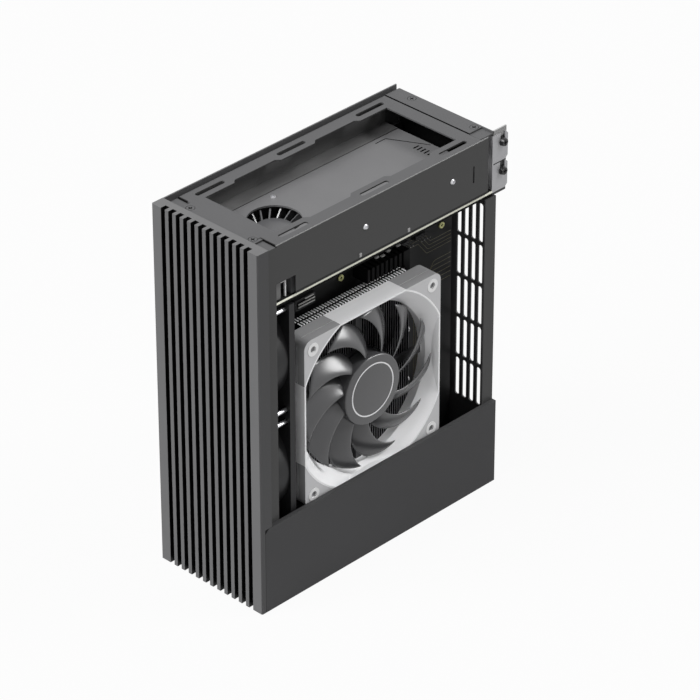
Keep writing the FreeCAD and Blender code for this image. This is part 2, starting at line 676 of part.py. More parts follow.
def bay_frame():
    body = piece("bay_frame")
    t = d.sheet_thk
    pad(body, "rim", "Z", rim_under, rim_z, polygon(
        (-wall_x, frame_back), (-tab_half, frame_back), (-tab_half, slab_back),
        (tab_half, slab_back), (tab_half, frame_back), (wall_x, frame_back),
        (wall_x, rim_back), (-wall_x, rim_back)))
    notch_y = frame_back + d.notch_length
    notch_z = wall_low + d.notch_height
    pad(body, "right_wall", "X", wall_in, wall_x, polygon(
        (frame_back, notch_z), (notch_y, notch_z), (notch_y, wall_low),
        (wall_end, wall_low), (wall_end, rim_z), (frame_back, rim_z)))
    hook_x = wall_in - d.hook_inset
    hook_low = card_top + d.hook_lift
    hook_top = notch_z - d.hook_drop
    plate_end = frame_back + d.hook_plate
    leg = plate_end + d.hook_gap
    pad(body, "hook_plate", "X", hook_x - t, hook_x, rectangle(frame_back, hook_low, plate_end, rim_z))
    pad(body, "hook_leg", "X", hook_x - t, hook_x, polygon(
        (plate_end, hook_top - t), (leg, hook_top - t), (leg, hook_low), (leg + t, hook_low),
        (leg + t, hook_top), (plate_end, hook_top)))
    skirt_x = -ledge_in - t
    ledge_under = ledge_z - t
    skirt_low = ledge_under - d.skirt_drop
    pad(body, "left_wall", "Y", frame_back, rim_back, polygon(
        (-wall_x, rim_z), (-wall_x, ledge_under), (skirt_x, ledge_under), (skirt_x, skirt_low),
        (-ledge_in, skirt_low), (-ledge_in, ledge_z), (-wall_in, ledge_z), (-wall_in, rim_z)))
    dress(body, "folds", "Fillet", long_fold, d.fold_radius)
    pad(body, "rear_tab", "Z", lap_under, rim_under, rectangle(
        -tab_half, rim_back - d.rear_flange / 2, flange_end - t, rear_in))
    pocket(body, "opening", "Z", rim_under, rim_z, bay_opening())
    pocket(body, "rim_slots", "Z", rim_under, rim_z, *[
        obround(x, y, d.rim_slot_length, d.rim_slot_width, True)
        for x in both_sides(rim_slot_x) for y in rim_slot_centres()])
    pocket(body, "tab_sinks", "Z", rim_under, rim_z, *[
        disc(x, slab_back + d.tab_screw_y, d.screw_head + d.screw_fit)
        for x in both_sides(tab_screw_x)])
    pocket(body, "rear_tab_holes", "Z", lap_under, rim_under, *[
        disc(x, rear_y - d.rear_screw_y, d.screw_radius + d.screw_fit)
        for x in both_sides(tab_screw_x)])
    pocket(body, "wall_slot", "X", wall_in, wall_x, obround(
        rim_back - d.wall_slot_in, rim_z - d.wall_slot_drop, d.wall_slot_length, d.wall_slot_width, True))
    pocket(body, "wall_screw_holes", "X", wall_in, wall_x, *[
        disc(y, wall_screw_z, d.screw_radius + d.screw_fit) for y in wall_screw_places()])


def long_fold(edge):
    """The two upper outer edges of the bay frame, along the case."""
    box = edge.BoundBox
    thin = d.sheet_thk.value / 2
    at_side = abs(abs(box.Center.x) - wall_x.value) < thin
    return at_side and abs(box.ZMin - rim_z.value) < thin and box.YLength > d.case_depth.value / 2


def wall_screw_places():
    return (front_y + d.wall_screw_y, rear_y - d.wall_screw_rear)


def slot_screw_places():
    lower = tab_low + d.slot_screw_z
    return [(rear_y + d.slot_screw_y, lower + d.slot_pitch * i) for i in range(2)]


def rear_panel():
    body = piece("rear_panel")
    t = d.sheet_thk
    pad(body, "plate", "Y", rear_in, rear_y, polygon(
        (-wall_x, d.floor_thk), (wall_x, d.floor_thk), (wall_x, post_top), (shelf_x, post_top),
        (shelf_x, rim_z), (-wall_x, rim_z)))
    pad(body, "top_flange", "Z", rim_under, rim_z,
        rectangle(-wall_x, flange_front, flange_end, rear_y))
    pad(body, "flange_step", "Z", lap_under, rim_under,
        rectangle(flange_end - t / 2, flange_front, shelf_x, rear_y))
    pad(body, "flange_joint", "Z", lap_under, rim_z,
        rectangle(flange_end - t / 2, flange_front, flange_end, rear_y))
    pad(body, "post", "X", wall_in, wall_x,
        rectangle(rear_y - d.post_depth, d.floor_thk, rear_y, post_top))
    pad(body, "shelf", "X", shelf_x - t, shelf_x,
        rectangle(rear_in, post_top - t, rear_y + d.shelf_reach, rim_z))
    pocket(body, "slot_opening", "Y", rear_in, rear_y, rectangle(
        bracket_far + d.supply_margin, tab_low, shelf_x - t, tab_top))
    columns = [wall_x - d.vent_in + d.vent_pitch * i for i in range(int(d.vent_columns.value))]
    vents = pocket(body, "vents", "Y", rear_in, rear_y, *[
        obround(x, card_z - d.vent_drop - d.vent_length / 2, d.vent_length, d.vent_width, True)
        for x in columns])
    row(body, "vent_rows", [vents], "V_Axis", d.vent_row_pitch, d.vent_rows, backwards=True)
    m = d.supply_margin
    pocket(body, "supply_window", "Y", rear_in, rear_y, rectangle(
        supply_left + m, d.floor_thk + m, supply_right - m, d.floor_thk + d.supply_height - m))
    pocket(body, "flange_sinks", "Z", rim_under, rim_z, *[
        disc(x, rear_y - d.rear_screw_y, d.screw_head + d.screw_fit)
        for x in both_sides(tab_screw_x)])
    pocket(body, "shelf_holes", "X", shelf_x - t, shelf_x, *[
        disc(y, z, d.screw_radius + d.screw_fit) for y, z in slot_screw_places()])


def lower_cover():
    body = piece("lower_cover")
    inner = half - d.side_skin
    pad(body, "folded_sheet", "Y", slab_back, rear_y, polygon(
        (-inner, ZERO), (half, ZERO), (half, d.cover_height), (inner, d.cover_height),
        (inner, d.floor_thk), (-inner, d.floor_thk)))
    tip = slab_back - d.lip_reach
    pad(body, "lap", "X", half - d.lip_depth, half, polygon(
        (slab_back, ZERO), (slab_back, d.cover_height), (tip + d.lip_corner, d.cover_height),
        (tip, d.cover_height - d.lip_corner), (tip, ZERO)))


def left_side_panel():
    body = piece("left_side_panel")
    pad(body, "plate", "X", -half, -half + d.side_skin,
        rectangle(slab_back, ZERO, rear_y, d.case_height))
    outer = -half.value
    dress(body, "bevel", "Chamfer",
          lambda edge: edge.BoundBox.XMax < outer + d.side_skin.value / 2, d.plate_bevel)


def board_tray():
    body = piece("board_tray")
    front = board_front - d.tray_front
    pad(body, "wall", "X", tray_x, tray_face, rectangle(front, d.floor_thk, rear_in, tray_top))
    pad(body, "foot", "Z", d.floor_thk, d.floor_thk + d.sheet_thk,
        rectangle(tray_face - d.sheet_thk / 2, front, tray_face + d.tray_foot, rear_in))
    pocket(body, "window", "X", tray_x, tray_face, square(cpu_y, cpu_z, d.tray_window))


def case_screws():
    """Flush screws that hold the bay frame at the front tab and under the rear flange."""
    body = piece("frame_screws")
    front = [(x, slab_back + d.tab_screw_y) for x in both_sides(tab_screw_x)]
    rear = [(x, rear_y - d.rear_screw_y) for x in both_sides(tab_screw_x)]
    pad(body, "heads", "Z", rim_under, rim_z, *[disc(x, y, d.screw_head) for x, y in front + rear])
    pad(body, "shanks", "Z", lap_under - d.sheet_thk, rim_under,
        *[disc(x, y, d.screw_radius) for x, y in front + rear])


def wall_screws():
    body = piece("bay_wall_screws")
    places = wall_screw_places()
    pad(body, "heads", "X", wall_x, wall_x + d.wall_screw_rise,
        *[disc(y, wall_screw_z, d.wall_screw_head) for y in places])
    pad(body, "shanks", "X", wall_in - d.sheet_thk, wall_x,
        *[disc(y, wall_screw_z, d.screw_radius) for y in places])


# Fans.

def blade_section(radius, angle, half_chord, low, high, thickness, camber):
    """A thin curved section across the radius at an angle, from trailing to leading edge."""
    out = Vector(math.cos(angle), math.sin(angle), 0)
    along = Vector(-math.sin(angle), math.cos(angle), 0)
    up = Vector(0, 0, 1)
    base = out * radius
    middle = (low + high) / 2 + camber

    def line(lift):
        start = base - along * half_chord + up * (low + lift)
        bend = base + up * (middle + lift - thickness / 2)
        finish = base + along * half_chord + up * (high + lift - thickness)
        return start, bend, finish

    lower = line(0.0)
    upper = line(thickness)
    edges = [
        Part.Arc(*lower).toShape(),
        Part.makeLine(lower[2], upper[2]),
        Part.Arc(upper[2], upper[1], upper[0]).toShape(),
        Part.makeLine(upper[0], lower[0]),
    ]
    return Part.Wire(edges)


def fan_blade(root, tip, low, high, thickness, chord_share, count, sweep):
    """A blade that leans round the hub towards its tip."""
    slice_angle = 2 * math.pi / count
    camber = (high - low) * 0.12
    tip_half = tip * math.sin(slice_angle / 2) * chord_share
    tip_flat = math.sqrt(tip * tip - tip_half * tip_half)
    sections = []
    for station in range(BLADE_STATIONS + 1):
        share = station / BLADE_STATIONS
        radius = root + (tip_flat - root) * share
        half_chord = root * math.sin(slice_angle / 2) * chord_share
        half_chord += (tip_half - half_chord) * share
        lean = sweep * (0.6 + 0.4 * share) * share
        drop = (high - low) * 0.14 * share * share
        sections.append(blade_section(
            radius, lean, half_chord, low + drop, high - drop, thickness, camber))
    return Part.makeLoft(sections, True, True)


def hub_cup(radius, low, high, wall, shaft_radius, shaft_low, rounding):
    """A cup with its floor at the high side and a shaft that points down from it."""
    outline = Part.makePolygon([
        Vector(0, 0, high), Vector(radius, 0, high), Vector(radius, 0, low),
        Vector(radius - wall, 0, low), Vector(radius - wall, 0, high - wall),
        Vector(shaft_radius, 0, high - wall), Vector(shaft_radius, 0, shaft_low),
        Vector(0, 0, shaft_low), Vector(0, 0, high)])
    cup = Part.Face(outline).revolve(Vector(0, 0, 0), Vector(0, 0, 1), FULL_TURN)
    rim = [
        edge for edge in cup.Edges
        if abs(edge.BoundBox.ZMin - high) < rounding and edge.BoundBox.XMax > radius - rounding
        and edge.BoundBox.ZMax - edge.BoundBox.ZMin < rounding
    ]
    return cup.makeFillet(rounding, rim)


def rotor(label, hub, tip, depth, blades, chord_share, sweep, start, centre, turn):
    """A fan wheel, made about +Z from its struts at 0 to its face, then turned into place."""
    low = d.strut_depth.value + d.blade_lift.value
    high = depth - d.blade_lift.value
    wall = d.hub_wall.value
    face = depth - d.hub_sink.value
    wheel = hub_cup(hub, low, face, wall, d.shaft_radius.value, d.strut_depth.value, wall / 2)
    blade = fan_blade(hub - wall / 2, tip, low, high, d.blade_thk.value, chord_share, blades, sweep)
    copies = []
    for i in range(blades):
        copy = blade.copy()
        copy.rotate(Vector(0, 0, 0), Vector(0, 0, 1), start + FULL_TURN * i / blades)
        copies.append(copy)
    feature = DOCUMENT.addObject("Part::Feature", label)
    feature.Label = label
    feature.Shape = wheel.fuse(copies)
    feature.Placement = Placement(centre, turn)
    PIECES.append(feature)


def front_fan(level, centre_z):
    body = piece("front_fan_frame_" + level)
    face = web_back
    back = small_fan_back
    plate = small_fan_size
    pad(body, "block", "Y", face, back, square(ZERO, centre_z, plate))
    shell = small_barrel + d.small_barrel_wall
    pocket(body, "corner_recess", "Y", face + d.small_flange, back - d.small_flange,
           square(ZERO, centre_z, plate + d.small_flange), disc(ZERO, centre_z, shell))
    pocket(body, "duct", "Y", face, back, disc(ZERO, centre_z, small_barrel))
    pocket(body, "screw_holes", "Y", face, back,
           *[disc(x, z, d.fan_hole) for x, z in grid(ZERO, centre_z, small_fan_holes)])
    strut_face = back - d.strut_depth
    reach = small_barrel + d.small_barrel_wall / 2
    pad(body, "struts", "Y", strut_face, back, plus_sign(ZERO, centre_z, reach, d.strut_width))
    pad(body, "motor_plate", "Y", strut_face, back, disc(ZERO, centre_z, d.small_hub))
    bearing_face = face + d.small_fan_depth / 2
    pad(body, "bearing", "Y", bearing_face, strut_face, disc(ZERO, centre_z, d.bearing_radius))
    pocket(body, "bore", "Y", bearing_face, back,
           disc(ZERO, centre_z, d.shaft_radius + d.shaft_clearance))
    tip = small_barrel.value - d.tip_gap.value
    rotor("front_fan_rotor_" + level, d.small_hub.value, tip, d.small_fan_depth.value,
          int(d.small_blades.value), 0.7, math.radians(24), 0,
          Vector(0, back.value, centre_z.value), Rotation(Vector(1, 0, 0), 90))


def front_fan_screws():
    body = piece("front_fan_screws")
    places = [
        place for centre in small_fan_centres for place in grid(ZERO, centre, small_fan_holes)]
    pad(body, "shanks", "Y", slab_back, small_fan_back,
        *[disc(x, z, d.fan_screw) for x, z in places])
    pad(body, "heads", "Y", small_fan_back, small_fan_back + d.sheet_thk,
        *[disc(x, z, d.fan_screw_head) for x, z in places])


def processor_fan():
    body = piece("cpu_fan_frame")
    whole = square(cpu_y, cpu_z, d.fan_size)
    pad(body, "block", "X", fan_back, fan_front, whole)
    pocket(body, "corner_seats", "X", fan_back, fan_front,
           square(cpu_y, cpu_z, (d.fan_ring + d.fan_edge) * 2), disc(cpu_y, cpu_z, d.fan_ring))
    pocket(body, "duct", "X", fan_back, fan_front, disc(cpu_y, cpu_z, d.fan_duct))
    flare = pocket(body, "flare", "X", fan_back + d.fan_throat, fan_front,
                   disc(cpu_y, cpu_z, d.fan_flare))
    slope = (d.fan_flare - d.fan_duct) / (d.fan_depth - d.fan_throat)
    flare.setExpression("TaperAngle", f"-atan({slope.text})")
    reach = d.fan_size / 2
    inner = reach - d.fan_edge
    span = d.fan_edge_span
    pad(body, "side_walls", "X", fan_back, fan_front,
        rectangle(cpu_y - span, cpu_z - reach, cpu_y + span, cpu_z - inner),
        rectangle(cpu_y - span, cpu_z + inner, cpu_y + span, cpu_z + reach),
        rectangle(cpu_y - reach, cpu_z - span, cpu_y - inner, cpu_z + span),
        rectangle(cpu_y + inner, cpu_z - span, cpu_y + reach, cpu_z + span))
    strut_face = fan_back + d.strut_depth
    pad(body, "struts", "X", fan_back, strut_face,
        plus_sign(cpu_y, cpu_z, d.fan_duct + d.fan_edge, d.strut_width))
    pad(body, "motor_plate", "X", fan_back, strut_face, disc(cpu_y, cpu_z, d.fan_hub))
    bearing_face = fan_back + d.fan_depth * 0.65
    pad(body, "bearing", "X", strut_face, bearing_face, disc(cpu_y, cpu_z, d.bearing_radius))
    pocket(body, "bore", "X", fan_back, bearing_face,
           disc(cpu_y, cpu_z, d.shaft_radius + d.shaft_clearance))

    pads = piece("cpu_fan_corner_pads")
    pad(pads, "block", "X", fan_back, fan_front, whole)
    pocket(pads, "ring_seat", "X", fan_back, fan_front, disc(cpu_y, cpu_z, d.fan_ring + d.pad_gap))
    holes = grid(cpu_y, cpu_z, d.fan_holes)
    pocket(pads, "bush_holes", "X", fan_back, fan_front,
           *[disc(y, z, d.bush_radius + d.pad_gap) for y, z in holes])
    far = (d.fan_size.value - d.fan_round.value) / 2
    dress(pads, "round_corners", "Fillet",
          lambda edge: edge.BoundBox.YMax - edge.BoundBox.YMin < d.pad_gap.value
          and edge.BoundBox.ZMax - edge.BoundBox.ZMin < d.pad_gap.value
          and abs(edge.BoundBox.Center.y - cpu_y.value) > far
          and abs(edge.BoundBox.Center.z - cpu_z.value) > far, d.fan_round)

    seam = fan_back + d.pad_seam
    pocket(pads, "seam", "X", seam, seam + d.pad_seam_width,
           square(cpu_y, cpu_z, d.fan_size + d.fan_edge),
           square(cpu_y, cpu_z, d.fan_size - d.pad_seam_depth * 2))

    bushes = piece("cpu_fan_bushes")
    pad(bushes, "tubes", "X", fan_back, fan_front + d.bush_proud,
        *[disc(y, z, d.bush_radius) for y, z in holes])
    pocket(bushes, "bores", "X", fan_back, fan_front + d.bush_proud,
           *[disc(y, z, d.bush_bore) for y, z in holes])
    screws = piece("cpu_fan_screws")
    pad(screws, "pins", "X", fan_back, fan_front - d.corner_screw_sink,
        *[disc(y, z, d.corner_screw) for y, z in holes])

    tip = d.fan_duct.value - d.tip_gap.value
    rotor("cpu_fan_rotor", d.fan_hub.value, tip, d.fan_depth.value, int(d.fan_blades.value),
          0.68, math.radians(30), d.fan_turn.value,
          Vector(fan_back.value, cpu_y.value, cpu_z.value), Rotation(Vector(0, 1, 0), 90))


# Motherboard, processor and cooler.

def motherboard():
    body = piece("motherboard")
    holes = board_holes + (board_extra_hole,)
    pad(body, "board", "X", board_back, board_face,
        rectangle(board_front, board_low, board_rear, board_top))
    pocket(body, "holes", "X", board_back, board_face,
           *[disc(y, z, d.board_screw + d.screw_fit) for y, z in holes])
    standoffs = piece("board_standoffs")
    pad(standoffs, "posts", "X", tray_face, board_back,
        *[disc(y, z, d.standoff_radius) for y, z in board_holes])
    screws = piece("board_screws")
    pad(screws, "heads", "X", board_face, board_face + d.board_screw_rise,
        *[disc(y, z, d.board_screw_head) for y, z in holes])
    pad(screws, "shanks", "X", board_back, board_face,
        *[disc(y, z, d.board_screw) for y, z in holes])
    pocket(screws, "recesses", "X", board_face + d.board_screw_rise / 2,
           board_face + d.board_screw_rise, *[disc(y, z, d.board_screw) for y, z in holes])


def processor():
    socket = piece("cpu_socket")
    pad(socket, "frame", "X", board_face, board_face + d.socket_thk,
        square(cpu_y, cpu_z, d.socket_size))
    pocket(socket, "window", "X", board_face, board_face + d.socket_thk,
           square(cpu_y, cpu_z, d.cpu_size + d.pad_gap * 2))
    body = piece("cpu")
    carrier = board_face + d.cpu_base_thk
    pad(body, "carrier", "X", board_face, carrier, square(cpu_y, cpu_z, d.cpu_size))
    pad(body, "lid", "X", carrier, cpu_top, square(cpu_y, cpu_z, d.cpu_lid))


def cooler():
    base_z = cpu_z - d.pipe_drop
    lowest = base_z - d.pipe_pitch * (d.pipe_count - 1) / 2
    pipe_levels = [lowest + d.pipe_pitch * i for i in range(int(d.pipe_count.value))]
    base = piece("cooler_base")
    pad(base, "block", "X", cpu_top, base_top, rectangle(
        cpu_y - d.base_half_y, base_z - d.base_half_z, cpu_y + d.base_half_y, base_z + d.base_half_z))
    pocket(base, "pipe_channels", "Y", cpu_y - d.base_half_y, cpu_y + d.base_half_y,
           *[disc(pipe_x, z, d.pipe_radius + d.pipe_fit) for z in pipe_levels])

    fins = piece("fin_stack")
    high = cpu_z + d.fan_size / 2
    low = high - d.fin_height
    fin = pad(fins, "fin", "Y", fin_first, fin_first + d.fin_thk,
              rectangle(base_top, low, fan_back, high))
    row(fins, "fins", [fin], "N_Axis", d.fin_pitch, d.fin_count, backwards=True)
    middle = (base_top + fan_back) / 2
    for name, z in (("upper_strip", high - d.fin_strip_thk), ("lower_strip", low)):
        pad(fins, name, "Y", fin_first, fin_last, rectangle(
            middle - d.fin_strip / 2, z, middle + d.fin_strip / 2, z + d.fin_strip_thk))

    pipes = piece("heat_pipes")
    bend_y = fin_last + d.pipe_radius
    pad(pipes, "runs", "Y", fin_first, bend_y,
        *[disc(pipe_x, z, d.pipe_radius) for z in pipe_levels])
    sketch = sketch_on(pipes, "bends", "Y", bend_y)
    sketch.setExpression("AttachmentOffset.Base.x", (pipe_x + d.pipe_bend).text)
    for z in pipe_levels:
        disc(-d.pipe_bend, z, d.pipe_radius)(sketch)
    bends = pipes.newObject("PartDesign::Revolution", "bends")
    bends.Profile = sketch
    bends.ReferenceAxis = (sketch, ["V_Axis"])
    bends.Angle = HALF_TURN
    bends.Reversed = True
    pad(pipes, "returns", "Y", fin_last, bend_y,
        *[disc(pipe_x + d.pipe_bend * 2, z, d.pipe_radius) for z in pipe_levels])


def board_parts():
    sink = piece("power_stage_cooler")
    front = board_front + d.sink_front
    rear = board_front + d.sink_rear
    top = board_top - d.sink_edge
    outer = board_face + d.sink_depth
    band = top - d.sink_band
    pad(sink, "block", "X", board_face, outer, polygon(
        (front, band), (rear - d.sink_leg, band), (rear - d.sink_leg, top - d.sink_height),
        (rear, top - d.sink_height), (rear, top), (front, top)))
    cuts = int((d.sink_rear.value - d.sink_front.value) / d.sink_pitch.value) - 1
    first = front + d.sink_pitch / 2
    grooves = [first + d.sink_pitch * i for i in range(cuts)]
    pocket(sink, "grooves", "X", board_face + d.sink_base, outer, *[
        rectangle(y, top - d.sink_height, y + d.sink_groove, top) for y in grooves])

    plug = piece("board_power_socket")
    start = board_front + d.socket_front
    low = top - d.socket_height
    wall = d.sheet_thk
    pad(plug, "block", "X", board_face, board_face + d.socket_rise,
        rectangle(start, low, start + d.socket_length, top))
    pocket(plug, "well", "X", board_face + d.sheet_thk * 2, board_face + d.socket_rise,
           rectangle(start + wall, low + wall, start + d.socket_length - wall, top - wall))

    slots = piece("memory_slots")
    modules = piece("memory_modules")
    begin = board_front + d.memory_front
    end = begin + d.memory_length
    levels = [board_low + d.memory_low + d.memory_pitch * i for i in range(2)]
    rise = board_face + d.memory_slot_rise
    seat = rise - d.memory_sink
    lip = d.sheet_thk
    pad(slots, "blocks", "X", board_face, rise, *[
        rectangle(begin - lip, z - d.memory_slot_thk / 2, end + lip, z + d.memory_slot_thk / 2)
        for z in levels])
    fit = d.pad_gap
    pocket(slots, "grooves", "X", seat, rise, *[
        rectangle(begin - fit, z - d.memory_thk / 2 - fit, end + fit, z + d.memory_thk / 2 + fit)
        for z in levels])
    pad(modules, "sticks", "X", seat, board_face + d.memory_rise, *[
        rectangle(begin, z - d.memory_thk / 2, end, z + d.memory_thk / 2) for z in levels])


# Graphics card, riser and power supply.

def graphics_card():
    board = piece("gpu_board")
    main_far = card_far + d.card_tongue
    card_front = front_y + d.card_front
    pad(board, "board", "Z", card_z, card_top, polygon(
        (card_near, card_front), (card_near, bracket_front), (main_far, bracket_front),
        (main_far, tongue_rear), (card_far, tongue_rear), (card_far, tongue_front),
        (main_far, tongue_front), (main_far, card_front)))

    shroud = piece("gpu_shroud")
    w = d.shroud_wall
    front = front_y + d.shroud_front
    rear = shroud_rear
    pad(shroud, "shell", "Z", card_top, shroud_top,
        rectangle(shroud_far, front, shroud_near, rear))
    pocket(shroud, "inside", "Z", card_top, shroud_roof,
           rectangle(shroud_far + w, front + w, shroud_near - w, rear))
    pocket(shroud, "slot_clearance", "Z", card_top, card_top + d.riser_slot_thk / 2, rectangle(
        shroud_far, tongue_front - d.riser_end * 2, main_far, tongue_rear + d.riser_end * 2))
    pocket(shroud, "inlet", "Z", shroud_roof, shroud_top, disc(blower_x, blower_y, d.inlet_radius))
    louvre_y = rear - d.louvre_rear
    pocket(shroud, "louvres", "Z", shroud_roof, shroud_top, *[
        rectangle(x, louvre_y, x + d.louvre_width, louvre_y + d.louvre_length)
        for x in (shroud_far + d.louvre_in + d.louvre_pitch * i for i in range(int(d.louvre_count.value)))])

    start = rear - d.crease_rear
    corner = start + d.crease_run
    crease_x = shroud_far + d.crease_in
    end_x = crease_x + d.crease_reach
    end_y = corner + d.crease_rise
    cw = d.crease_width
    pocket(shroud, "crease", "Z", shroud_top - d.crease_depth, shroud_top, polygon(
        (crease_x, start), (crease_x + cw, start), (crease_x + cw, corner - cw / 2),
        (end_x, end_y - cw), (end_x, end_y), (crease_x, corner)))

    screws = piece("gpu_shroud_screws")
    places = (shroud_far + d.shroud_screw_in, shroud_near - d.shroud_screw_in)
    pad(screws, "heads", "Z", shroud_top, shroud_top + d.shroud_screw_rise, *[
        disc(x, blower_y + d.shroud_screw_y, d.shroud_screw) for x in places])

    sink = piece("gpu_heat_sink")
    left = main_far + d.cooler_inset
    right = shroud_near - w - d.cooler_inset
    start = blower_y + d.cooler_front
    end = shroud_rear - d.cooler_gap
    top = shroud_roof - d.cooler_inset
    pad(sink, "block", "Z", card_top, top, rectangle(left, start, right, end))
    cuts = int((right - left).value / d.cooler_pitch.value)
    pocket(sink, "gaps", "Z", card_top + d.cooler_base, top, *[
        rectangle(x, start, x + d.cooler_groove, end)
        for x in (left + (d.cooler_pitch - d.cooler_groove) + d.cooler_pitch * i for i in range(cuts))])


def blower():
    motor = piece("gpu_blower_motor")
    plate_top = card_top + d.motor_height
    hub_top = shroud_top - d.blower_hub_sink
    bearing_top = hub_top - d.bearing_radius
    pad(motor, "plate", "Z", card_top, plate_top, disc(blower_x, blower_y, d.motor_radius))
    pad(motor, "bearing", "Z", plate_top, bearing_top, disc(blower_x, blower_y, d.bearing_radius))
    pocket(motor, "bore", "Z", card_top, bearing_top,
           disc(blower_x, blower_y, d.shaft_radius + d.shaft_clearance))

    low = d.blower_lift.value
    disc_top = low + d.blower_disc.value
    height = (hub_top - card_top).value
    wall = d.hub_wall.value
    inner = d.blower_hub.value
    outer = d.blower_radius.value
    wheel = hub_cup(inner, low, height, wall, d.shaft_radius.value, wall, wall / 2)
    plate = Part.makeCylinder(outer, d.blower_disc.value, Vector(0, 0, low))
    plate = plate.cut(Part.makeCylinder(inner - wall / 2, height))
    blade_top = (shroud_roof - d.blower_gap - card_top).value
    count = int(d.blower_blades.value)
    thickness = d.blower_blade_thk.value
    inlet = d.inlet_radius.value
    profile = Part.makePolygon([
        Vector(inner - wall / 2, 0, disc_top - d.blower_disc.value / 2),
        Vector(outer, 0, disc_top - d.blower_disc.value / 2),
        Vector(outer, 0, blade_top), Vector(inlet, 0, blade_top),
        Vector(inner - wall / 2, 0, height - wall),
        Vector(inner - wall / 2, 0, disc_top - d.blower_disc.value / 2)])
    blade = Part.Face(profile).extrude(Vector(0, thickness, 0))
    blade.rotate(Vector(inner, 0, 0), Vector(0, 0, 1), -FULL_TURN / count)
    copies = [plate]
    for i in range(count):
        copy = blade.copy()
        copy.rotate(Vector(0, 0, 0), Vector(0, 0, 1), FULL_TURN * i / count)
        copies.append(copy)
    feature = DOCUMENT.addObject("Part::Feature", "gpu_blower_rotor")
    feature.Label = "gpu_blower_rotor"
    feature.Shape = wheel.fuse(copies)
    feature.Placement = Placement(Vector(blower_x.value, blower_y.value, card_top.value), Rotation())
    PIECES.append(feature)


def bracket():
    body = piece("gpu_bracket")
    t = d.bracket_thk
    outer = shelf_x + t
    pad(body, "plate", "Y", bracket_front, rear_in,
        rectangle(bracket_far, tab_low, outer, tab_top))
    reach = rear_y + d.tab_reach
    c = d.tab_chamfer
    lower_top = tab_low + d.slot_pitch - d.bracket_slit
    upper_low = tab_low + d.slot_pitch
    pad(body, "tabs", "X", shelf_x, outer, *[
        polygon((bracket_front, low), (reach - c, low), (reach, low + c),
                (reach, high - c), (reach - c, high), (bracket_front, high))
        for low, high in ((tab_low, lower_top), (upper_low, tab_top))])
    n = d.tab_notch / 2
    for (y, z), high, name in zip(slot_screw_places(), (lower_top, tab_top), ("lower", "upper")):
        pocket(body, name + "_notch", "X", shelf_x, outer, rectangle(y - n, z - n, y + n, high))
    screws = piece("slot_screws")
    places = slot_screw_places()
    pad(screws, "heads", "X", outer, outer + d.slot_screw_rise,
        *[disc(y, z, d.slot_screw_head) for y, z in places])
    pad(screws, "shanks", "X", shelf_x - d.sheet_thk * 2, outer,
        *[disc(y, z, d.screw_radius) for y, z in places])


def riser():
    slot = piece("riser_slot")
    near = card_far + d.card_tongue - d.riser_gap
    back = near - d.riser_slot_depth
    middle = card_z + d.board_thk / 2
    low = middle - d.riser_slot_thk / 2
    high = middle + d.riser_slot_thk / 2
    fit = d.riser_fit
    pad(slot, "block", "Z", low, high,
        rectangle(back, tongue_front - d.riser_end, near, tongue_rear + d.riser_end))
    pocket(slot, "groove", "Z", card_z - fit, card_top + fit,
           rectangle(card_far - fit, tongue_front - fit, near, tongue_rear + fit))
    card = piece("riser_card")
    pad(card, "board", "X", back - d.board_thk, back, rectangle(
        tongue_front - d.riser_front, card_z - d.riser_drop, tongue_rear + d.riser_end, ledge_z - d.sheet_thk))


def power_supply():
    body = piece("power_supply")
    low = d.floor_thk
    high = low + d.supply_height
    middle = (supply_left + supply_right) / 2
    pad(body, "housing", "Y", rear_in - d.supply_length, rear_in,
        rectangle(supply_left, low, supply_right, high))
    w = d.inlet_width / 2
    pocket(body, "mains_inlet", "Y", rear_in - d.inlet_depth, rear_in, rectangle(
        middle - w, low + d.inlet_low, middle + w, low + d.inlet_low + d.inlet_height))
    pocket(body, "vent_slots", "Y", rear_in - d.supply_vent_depth, rear_in, *[
        obround(middle, low + d.supply_vent_low + d.supply_vent_pitch * i,
                d.supply_vent_length, d.supply_vent_width, False)
        for i in range(int(d.supply_vents.value))])


def check_document():
    """Stop if any object failed or any piece has no sound shape."""
    for item in DOCUMENT.Objects:
        if "Invalid" in item.State or "Error" in item.State:
            raise RuntimeError(f"{item.Label} failed: {item.State}")
    for item in PIECES:
        if item.Shape.isNull() or not item.Shape.isValid() or not item.Shape.Solids:
            raise RuntimeError(f"{item.Label} has no sound shape")


def check_cuts():
    """Stop if a pocket took nothing away from its body."""
    for item in DOCUMENT.Objects:
        if item.TypeId == "PartDesign::Pocket":
            if item.Shape.Volume >= item.BaseFeature.Shape.Volume:
                raise RuntimeError(f"{item.Label} cuts nothing")


front_panel()
front_frame()
bay_frame()
rear_panel()
lower_cover()
left_side_panel()
board_tray()
case_screws()
wall_screws()
for fan_level, fan_centre in zip(("lower", "upper"), small_fan_centres):
    front_fan(fan_level, fan_centre)
front_fan_screws()
motherboard()
processor()
cooler()
processor_fan()
board_parts()
graphics_card()
blower()
bracket()
riser()
power_supply()

DOCUMENT.recompute()
check_document()
check_cuts()
os.makedirs("parts", exist_ok=True)
for item in PIECES:
    item.Shape.exportStep(os.path.join("parts", item.Label + ".step"))
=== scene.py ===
import math

import bmesh
import bpy
from mathutils import Matrix, Vector


